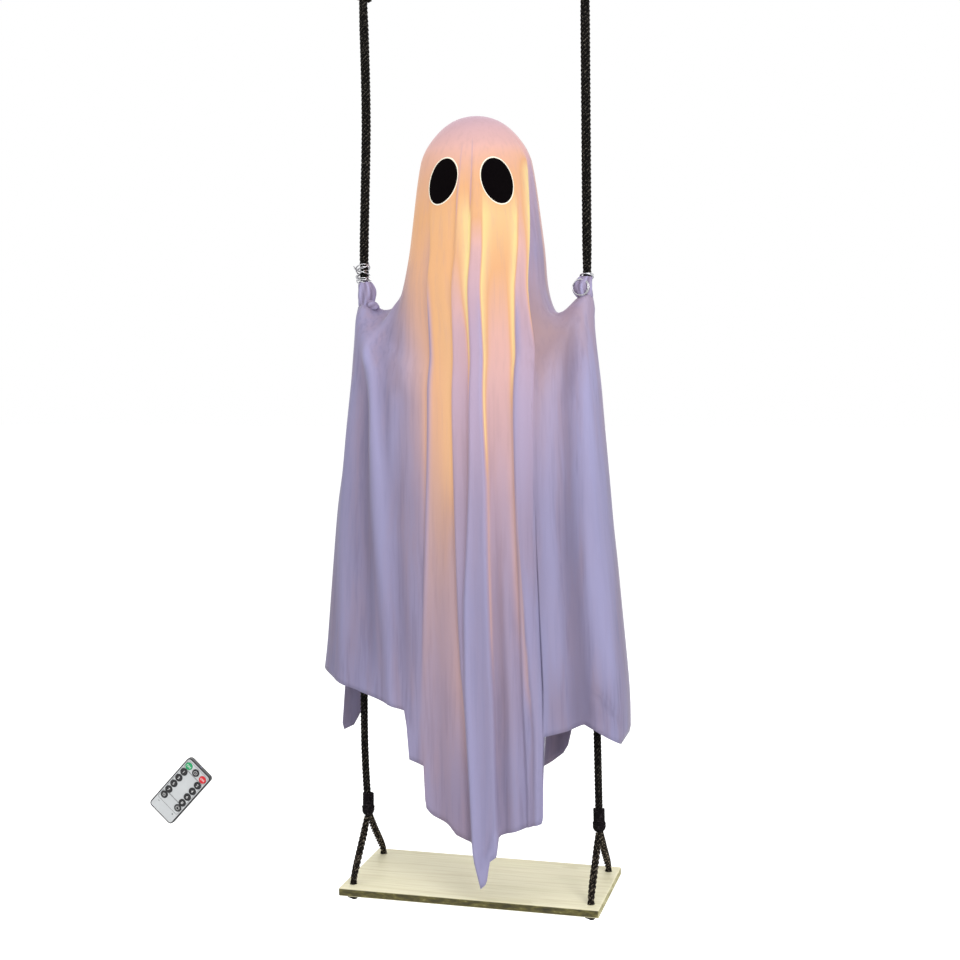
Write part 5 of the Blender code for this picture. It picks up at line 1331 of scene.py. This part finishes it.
def lobe_part(values, creases=5, rows=14, segments=40):
    """A small creased pillow of cloth as (verts, faces); its poles are closed."""
    centre, sizes, turn = LOBE_CENTRE, LOBE_SIZES, Matrix.Rotation(LOBE_LEAN, 3, "Y")
    verts, faces = [centre + turn @ Vector((0, 0, sizes.z))], []
    # painted highlight on the top of the lobe
    values["fold"].append(0.3)
    for row in range(1, rows):
        polar = math.pi * row / rows
        for k in range(segments):
            angle = math.tau * k / segments
            crease = math.cos(creases * angle + 2.2 * polar) * math.sin(polar)
            reach = 1 + 0.13 * crease
            verts.append(centre + turn @ Vector((sizes.x * math.sin(polar) * math.cos(angle) * reach,
                                                 sizes.y * math.sin(polar) * math.sin(angle) * reach,
                                                 sizes.z * math.cos(polar))))
            # painted shade in the creases, painted highlight between them
            values["fold"].append(crease * 0.8)
    verts.append(centre + turn @ Vector((0, 0, -sizes.z)))
    # painted shade underneath
    values["fold"].append(-0.3)
    for k in range(segments):
        j = (k + 1) % segments
        faces.append((0, 1 + k, 1 + j))
        for row in range(rows - 2):
            a, b = 1 + row * segments, 1 + (row + 1) * segments
            faces.append((a + k, b + k, b + j, a + j))
        a = 1 + (rows - 2) * segments
        faces.append((a + k, len(verts) - 1, a + j))
    return verts, faces


def puff_part(side, values, rows=26, segments=72, ruffles=6):
    """The gathered corner round its rope as (verts, faces), with a clear way through for the rope."""
    top, bottom, lean, swell_size = PUFFS[side]
    verts, faces = [], []
    depth = bottom - top + TUCK[side]
    for row in range(rows + 1):
        drop = top + depth * row / rows
        t = min(1.0, (drop - top) / (bottom - top))
        swell = math.sin(math.pi * (0.06 + 0.86 * t)) ** 0.75
        for k in range(segments):
            angle = math.tau * k / segments
            crease = math.cos(ruffles * angle + 3.0 * t + side) + 0.5 * math.cos(11 * angle - 4.0 * t)
            radius = PUFF_NECK + swell_size * swell + PUFF_CREASE * crease * swell
            verts.append(Vector((side * (rope_x(drop, side) - lean * swell) + radius * math.cos(angle),
                                 radius * math.sin(angle), -drop)))
            # painted shade in the creases, painted highlight where the cloth bulges out
            values["fold"].append(max(-1.0, min(1.0, crease * 0.8)))
    inner = len(verts)
    for row in range(rows + 1):
        drop = top + depth * row / rows
        for k in range(segments):
            angle = math.tau * k / segments
            verts.append(Vector((side * rope_x(drop, side) + PUFF_BORE * math.cos(angle),
                                 PUFF_BORE * math.sin(angle), -drop)))
            # painted shade all through the bore
            values["fold"].append(-1.0)
    for start, way in ((0, 1), (inner, -1)):
        for row in range(rows):
            for k in range(segments):
                j = (k + 1) % segments
                a, b = start + row * segments, start + (row + 1) * segments
                faces.append((a + k, b + k, b + j, a + j)[::way])
    faces += band(0, inner, segments) + band(inner + rows * segments, rows * segments, segments)
    return verts, faces


def make_hands():
    """Each corner of the sheet gathered in a puff round its rope and bound with loops of wire."""
    for side in (-1, 1):
        name = side_name(side)
        values = {"fold": []}
        parts = [(*puff_part(side, values), [])]
        if side < 0:
            parts.append((*lobe_part(values), []))
        verts, faces, _ = join_parts(parts)
        values["glow"] = [0.05] * len(verts)
        values["hue"] = [0.1] * len(verts)
        add_piece("hand_puff_" + name, verts, faces, finish["cloth"], "swing", "hand_gather_" + name,
                  values=values)
        make_wire(side)


WIRE_RADIUS = 0.65 * MM
TWIST_RADIUS = 0.5 * MM
# The rings in front of the right puff, as (radius, how far forward, how far inwards) in mm, and their drop
FRONT_RINGS = ((9.6, 8.6, 0.0), (8.9, 9.6, 0.6))
FRONT_RING_DROP = 12.5 * MM
# The twisted end beside the left puff, from where to where outwards, forward and up
TWIST = ((6 * MM, 10 * MM), (4 * MM, 8 * MM), (8 * MM, 18 * MM))


def make_wire(side):
    """Loose, uneven loops of bright wire at the gathered corner, with a twisted end."""
    name = side_name(side)
    parts = []
    rng = random.Random(11)
    top, _, lean, _ = PUFFS[side]
    if side < 0:
        loops = [(-19 + 2.6 * k, 7.4 + rng.uniform(0.0, 2.0), rng.uniform(18, 42), rng.uniform(0, 360), -1.6)
                 for k in range(8)] + [(-5, 7.6, 4, 0, -1.0), (-2.5, 8.2, 6, 90, 0.0)]
    else:
        loops = [(-1.6 + 1.6 * k, 6.9 + 0.7 * k, rng.uniform(5, 24), rng.uniform(0, 360), 0.5 * k) for k in range(2)]
    for down, radius, tilt, around, shift in loops:
        drop = top + down * MM
        centre = Vector((side * (rope_x(drop, side) - shift * MM), 0, -drop))
        parts.append(ring_tube(centre, radius * MM, tilt, around, WIRE_RADIUS, 6, 28))
    if side > 0:
        for k, (radius, forward, inwards) in enumerate(FRONT_RINGS):
            centre = Vector((rope_x(top) - lean - inwards * MM, -forward * MM, -top - FRONT_RING_DROP))
            parts.append(ring_tube(centre, radius * MM, 84, -6 + 4 * k, WIRE_RADIUS, 6, 30))
    for start in (0, math.pi) if side < 0 else ():
        twist = []
        for step in range(20):
            t = step / 19
            out, forward, up = (low + (high - low) * t for low, high in TWIST)
            base = Vector((side * (rope_x(top, side) + out), -forward, up - top))
            angle = start + 5 * math.pi * t
            twist.append(base + Vector((0, math.cos(angle), math.sin(angle))) * WIRE_RADIUS)
        parts.append(tube_mesh(twist, TWIST_RADIUS, 6))
    verts, faces, uvs = join_parts(parts)
    add_piece("hand_wire_" + name, verts, faces, finish["wire"], "swing", "tie_wire_" + name, uvs)


# Lamps under the sheet

SPINE_RADIUS, LAMP_RADIUS, LAMP_WIRE_RADIUS = 8 * MM, 2.3 * MM, 0.8 * MM
# A lamp from bottom to top, as (height, radius) in its own radii
LAMP_SHAPE = ((-1.5, 0.15), (-1.2, 0.65), (-0.6, 0.95), (0, 1.0), (0.6, 0.95), (1.2, 0.65), (1.5, 0.15))
HUB_DROP = 474 * MM
HUB_RADIUS = 14 * MM
HUB_ROOM = 15.2 * MM
STRING_START, STRING_END = 279.2 * MM, CASE_TOP_DROP - 16.2 * MM
STRING_PITCH = 40 * MM
STRING_STEP = 2.5 * MM
HUB_PASS = (8 * MM, -8 * MM)
CASE_LEAD = 12.1 * MM
CASE_LEAD_RISE = 9 * MM


def make_lamps():
    """Copper wire wound down the spine, with a small lamp every half turn."""
    spine, bulb, wire = SPINE_RADIUS, LAMP_RADIUS, LAMP_WIRE_RADIUS
    wires, bulbs = [], []
    per_turn = 16
    for top, bottom in ((STRING_START, HUB_DROP - HUB_ROOM), (HUB_DROP + HUB_ROOM, STRING_END)):
        turns = round((bottom - top) / STRING_PITCH)
        for step in range(turns * per_turn + 1):
            angle = math.tau * step / per_turn
            reach = spine + SEAT_GAP + wire
            drop = top + (bottom - top) * step / (turns * per_turn)
            wires.append(Vector((reach * math.cos(angle), reach * math.sin(angle), -drop)))
            if step % (per_turn // 2) == per_turn // 4:
                reach = spine + SEAT_GAP + bulb
                centre = Vector((reach * math.cos(angle), reach * math.sin(angle), -drop))
                spindle = [centre + Vector((0, 0, rise * bulb)) for rise, _ in LAMP_SHAPE]
                bulbs.append(tube_mesh(spindle, [bulb * girth for _, girth in LAMP_SHAPE], 10))
        if top == STRING_START:
            reach = HUB_RADIUS + SEAT_GAP + wire
            wires += [Vector((reach, 0, rise - HUB_DROP)) for rise in HUB_PASS]
    wires += [Vector((CASE_LEAD, 0, rise - CASE_TOP_DROP)) for rise in (CASE_LEAD_RISE, SEAT_GAP)]
    verts, faces, uvs = tube_mesh(even_points(wires, STRING_STEP), wire, 6)
    add_piece("lamp_wire", verts, faces, finish["string"], "ghost", uvs=uvs)
    verts, faces, uvs = join_parts(bulbs)
    add_piece("lamps", verts, faces, finish["lamp"], "ghost", "light_string", uvs)


# Hidden pieces that follow the sheet

# How much slimmer the shell in the head is, and between which distances from its middle it gets so
SHELL_SLIMMING = 0.075
SHELL_REACH = (16 * MM, 45 * MM)
# How much snugger the rod's eyes lie on the ropes, and over which distances from the rope, and from the middle
EYE_SNUGNESS = 0.8 * MM
EYE_REACH = (7.5 * MM, 14 * MM)
ROD_REACH = (95 * MM, 124 * MM)
CREASE_ANGLE = math.radians(35)
WELD_DISTANCE = 0.001 * MM


def refit(node, name, material, move):
    """A copy of a hidden piece of the ghost with its points moved."""
    shape = bmesh.new()
    shape.from_mesh(nodes[node].data)
    bmesh.ops.remove_doubles(shape, verts=shape.verts, dist=WELD_DISTANCE)
    verts = [move(v.co.copy()) for v in shape.verts]
    faces = [tuple(v.index for v in face.verts) for face in shape.faces]
    shape.free()
    piece = add_piece(name, verts, faces, material, "ghost", node)
    piece.data.set_sharp_from_angle(angle=CREASE_ANGLE)


def make_hidden_parts():
    def in_head(place):
        slimmer = 1 - SHELL_SLIMMING * eased(math.hypot(place.x, place.y), *SHELL_REACH)
        return Vector((place.x * slimmer + HEAD_SHIFT / 2, place.y * slimmer, place.z))

    def on_ropes(place):
        side = -1 if place.x < 0 else 1
        rope = Vector((side * rope_x(-place.z), 0, place.z))
        away = place - rope
        snug = EYE_SNUGNESS * (1 - eased(away.length, *EYE_REACH))
        place = rope + away * (1 - snug / max(away.length, MM))
        bow = side * (rope_x(-place.z, side) - rope_x(-place.z))
        place.x += bow * eased(abs(place.x), *ROD_REACH)
        return place

    refit("head_dome", "head_shell", finish["frosted"], in_head)
    refit("arm_wire", "arm_rod", finish["steel"], on_ropes)


# Remote's printing

REMOTE_TURN = (Matrix.Translation(REMOTE_PLACE) @ Matrix.Rotation(REMOTE_LEAN, 4, "Y")
               @ Matrix.Rotation(math.radians(90), 4, "X"))
FACE_TOP = 3.5 * MM
KEY_TOP = 4.3 * MM
KEY_COLUMN = 12.2 * MM
KEY_PITCH = 10.6 * MM
PRINT_DEPTH = 0.08 * MM
SUN_LINE, CLOCK_LINE, FRAME_LINE, SIGN_LINE = 0.32 * MM, 0.34 * MM, 0.35 * MM, 0.5 * MM
CLOCK_RADIUS, HOUR_HAND, MINUTE_HAND = 2.3 * MM, Vector((1.1, -0.5)) * MM, Vector((0, 1.5)) * MM
FIRST_KEY, LAST_KEY = 33.5 * MM, -18.5 * MM
ON_HEIGHT, OFF_HEIGHT, DIGIT_HEIGHT = 4.2 * MM, 3.7 * MM, 5.2 * MM
LOW_SUN, HIGH_SUN = 1.4 * MM, 1.9 * MM
FRAME_HALF_WIDTH, FRAME_CORNER = 17.2 * MM, 2.4 * MM
# The three boxes round the keys, as (bottom, top) on the face
FRAMES = ((28.2 * MM, 39.6 * MM), (-12.2 * MM, 27.4 * MM), (-26.5 * MM, -13.0 * MM))
SIGN_ROW, SIGN_HALF = -30 * MM, 1.2 * MM


def printed_text(name, words, height, x, y, z, material, body):
    curve = bpy.data.curves.new(name, "FONT")
    curve.body = words
    curve.size = height
    curve.align_x = "CENTER"
    curve.align_y = "CENTER"
    curve.extrude = PRINT_DEPTH / 2
    text = bpy.data.objects.new(name + "_outline", curve)
    bpy.context.scene.collection.objects.link(text)
    bpy.context.view_layer.update()
    mesh = bpy.data.meshes.new_from_object(text.evaluated_get(bpy.context.evaluated_depsgraph_get()))
    bpy.data.objects.remove(text)
    piece = bpy.data.objects.new(name, mesh)
    bpy.context.scene.collection.objects.link(piece)
    bm = bmesh.new()
    bm.from_mesh(mesh)
    bmesh.ops.remove_doubles(bm, verts=bm.verts, dist=WELD_DISTANCE)
    bm.to_mesh(mesh)
    bm.free()
    mesh.materials.clear()
    mesh.materials.append(material)
    mesh.transform(REMOTE_TURN @ Matrix.Translation((x, y, z)))
    mesh.shade_flat()
    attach(piece, body)


def flat_bars(name, bars, z, material, body):
    """Thin printed bars: each is (x1, y1, x2, y2, width) on the remote's face."""
    verts, faces = [], []
    for x1, y1, x2, y2, width in bars:
        a, b = Vector((x1, y1, 0)), Vector((x2, y2, 0))
        along = (b - a).normalized()
        across = Vector((-along.y, along.x, 0)) * width / 2
        start = len(verts)
        for height in (0, PRINT_DEPTH):
            for corner in (a - across, b - across, b + across, a + across):
                verts.append(corner + Vector((0, 0, height)))
        for face in ((3, 2, 1, 0), (4, 5, 6, 7), (0, 1, 5, 4), (1, 2, 6, 5), (2, 3, 7, 6), (3, 0, 4, 7)):
            faces.append(tuple(start + i for i in face))
    verts = [REMOTE_TURN @ (v + Vector((0, 0, z))) for v in verts]
    add_piece(name, verts, faces, material, body, smooth=False)


def ring_bars(x, y, radius, width, count=20):
    points = [(x + radius * math.cos(math.tau * k / count), y + radius * math.sin(math.tau * k / count))
              for k in range(count + 1)]
    return [(*a, *b, width) for a, b in zip(points, points[1:])]


def frame_bars(x1, y1, x2, y2, corner, width):
    """A rounded box outline."""
    points = []
    for cx, cy, start in ((x2 - corner, y2 - corner, 0), (x1 + corner, y2 - corner, 90),
                          (x1 + corner, y1 + corner, 180), (x2 - corner, y1 + corner, 270)):
        for step in range(6):
            angle = math.radians(start + 90 * step / 5)
            points.append((cx + corner * math.cos(angle), cy + corner * math.sin(angle)))
    points.append(points[0])
    return [(*a, *b, width) for a, b in zip(points, points[1:])]


def sun_bars(x, y, radius):
    bars = ring_bars(x, y, radius, SUN_LINE)
    for k in range(10):
        angle = math.tau * k / 10
        c, s = math.cos(angle), math.sin(angle)
        bars.append((x + c * radius * 1.3, y + s * radius * 1.3, x + c * radius * 1.75, y + s * radius * 1.75,
                     SUN_LINE))
    return bars


def make_remote_print():
    top, bottom = FIRST_KEY, LAST_KEY
    white, dark = finish["print_white"], finish["print_dark"]
    printed_text("on_mark", "ON", ON_HEIGHT, -KEY_COLUMN, top, KEY_TOP, white, "on_key")
    printed_text("off_mark", "OFF", OFF_HEIGHT, KEY_COLUMN, top, KEY_TOP, white, "off_key")
    clock = ring_bars(0, top, CLOCK_RADIUS, CLOCK_LINE)
    clock += [(0, top, hand.x, top + hand.y, CLOCK_LINE) for hand in (MINUTE_HAND, HOUR_HAND)]
    flat_bars("clock_mark", clock, KEY_TOP, white, "timer_key")
    for number in range(8):
        row, column = divmod(number, 2)
        printed_text("numeral_%d" % (number + 1), str(number + 1), DIGIT_HEIGHT, (2 * column - 1) * KEY_COLUMN,
                     top - KEY_PITCH * (row + 1), KEY_TOP, white, "mode_key_%d" % (number + 1))
    flat_bars("low_sun_mark", sun_bars(-KEY_COLUMN, bottom, LOW_SUN), KEY_TOP, white, "dimmer_key")
    flat_bars("high_sun_mark", sun_bars(KEY_COLUMN, bottom, HIGH_SUN), KEY_TOP, white, "brighter_key")
    frames = []
    for low, high in FRAMES:
        frames += frame_bars(-FRAME_HALF_WIDTH, low, FRAME_HALF_WIDTH, high, FRAME_CORNER, FRAME_LINE)
    frames += [(x - SIGN_HALF, SIGN_ROW, x + SIGN_HALF, SIGN_ROW, SIGN_LINE) for x in (-KEY_COLUMN, KEY_COLUMN)]
    frames += [(KEY_COLUMN, SIGN_ROW - SIGN_HALF, KEY_COLUMN, SIGN_ROW + SIGN_HALF, SIGN_LINE)]
    flat_bars("face_print", frames, FACE_TOP, dark, "remote")


make_camera()
make_stage()
make_light()
finish_nodes()
make_ropes()
make_cloth()
make_eyes()
make_hands()
make_lamps()
make_hidden_parts()
make_remote_print()

bpy.context.scene.view_settings.view_transform = "Standard"
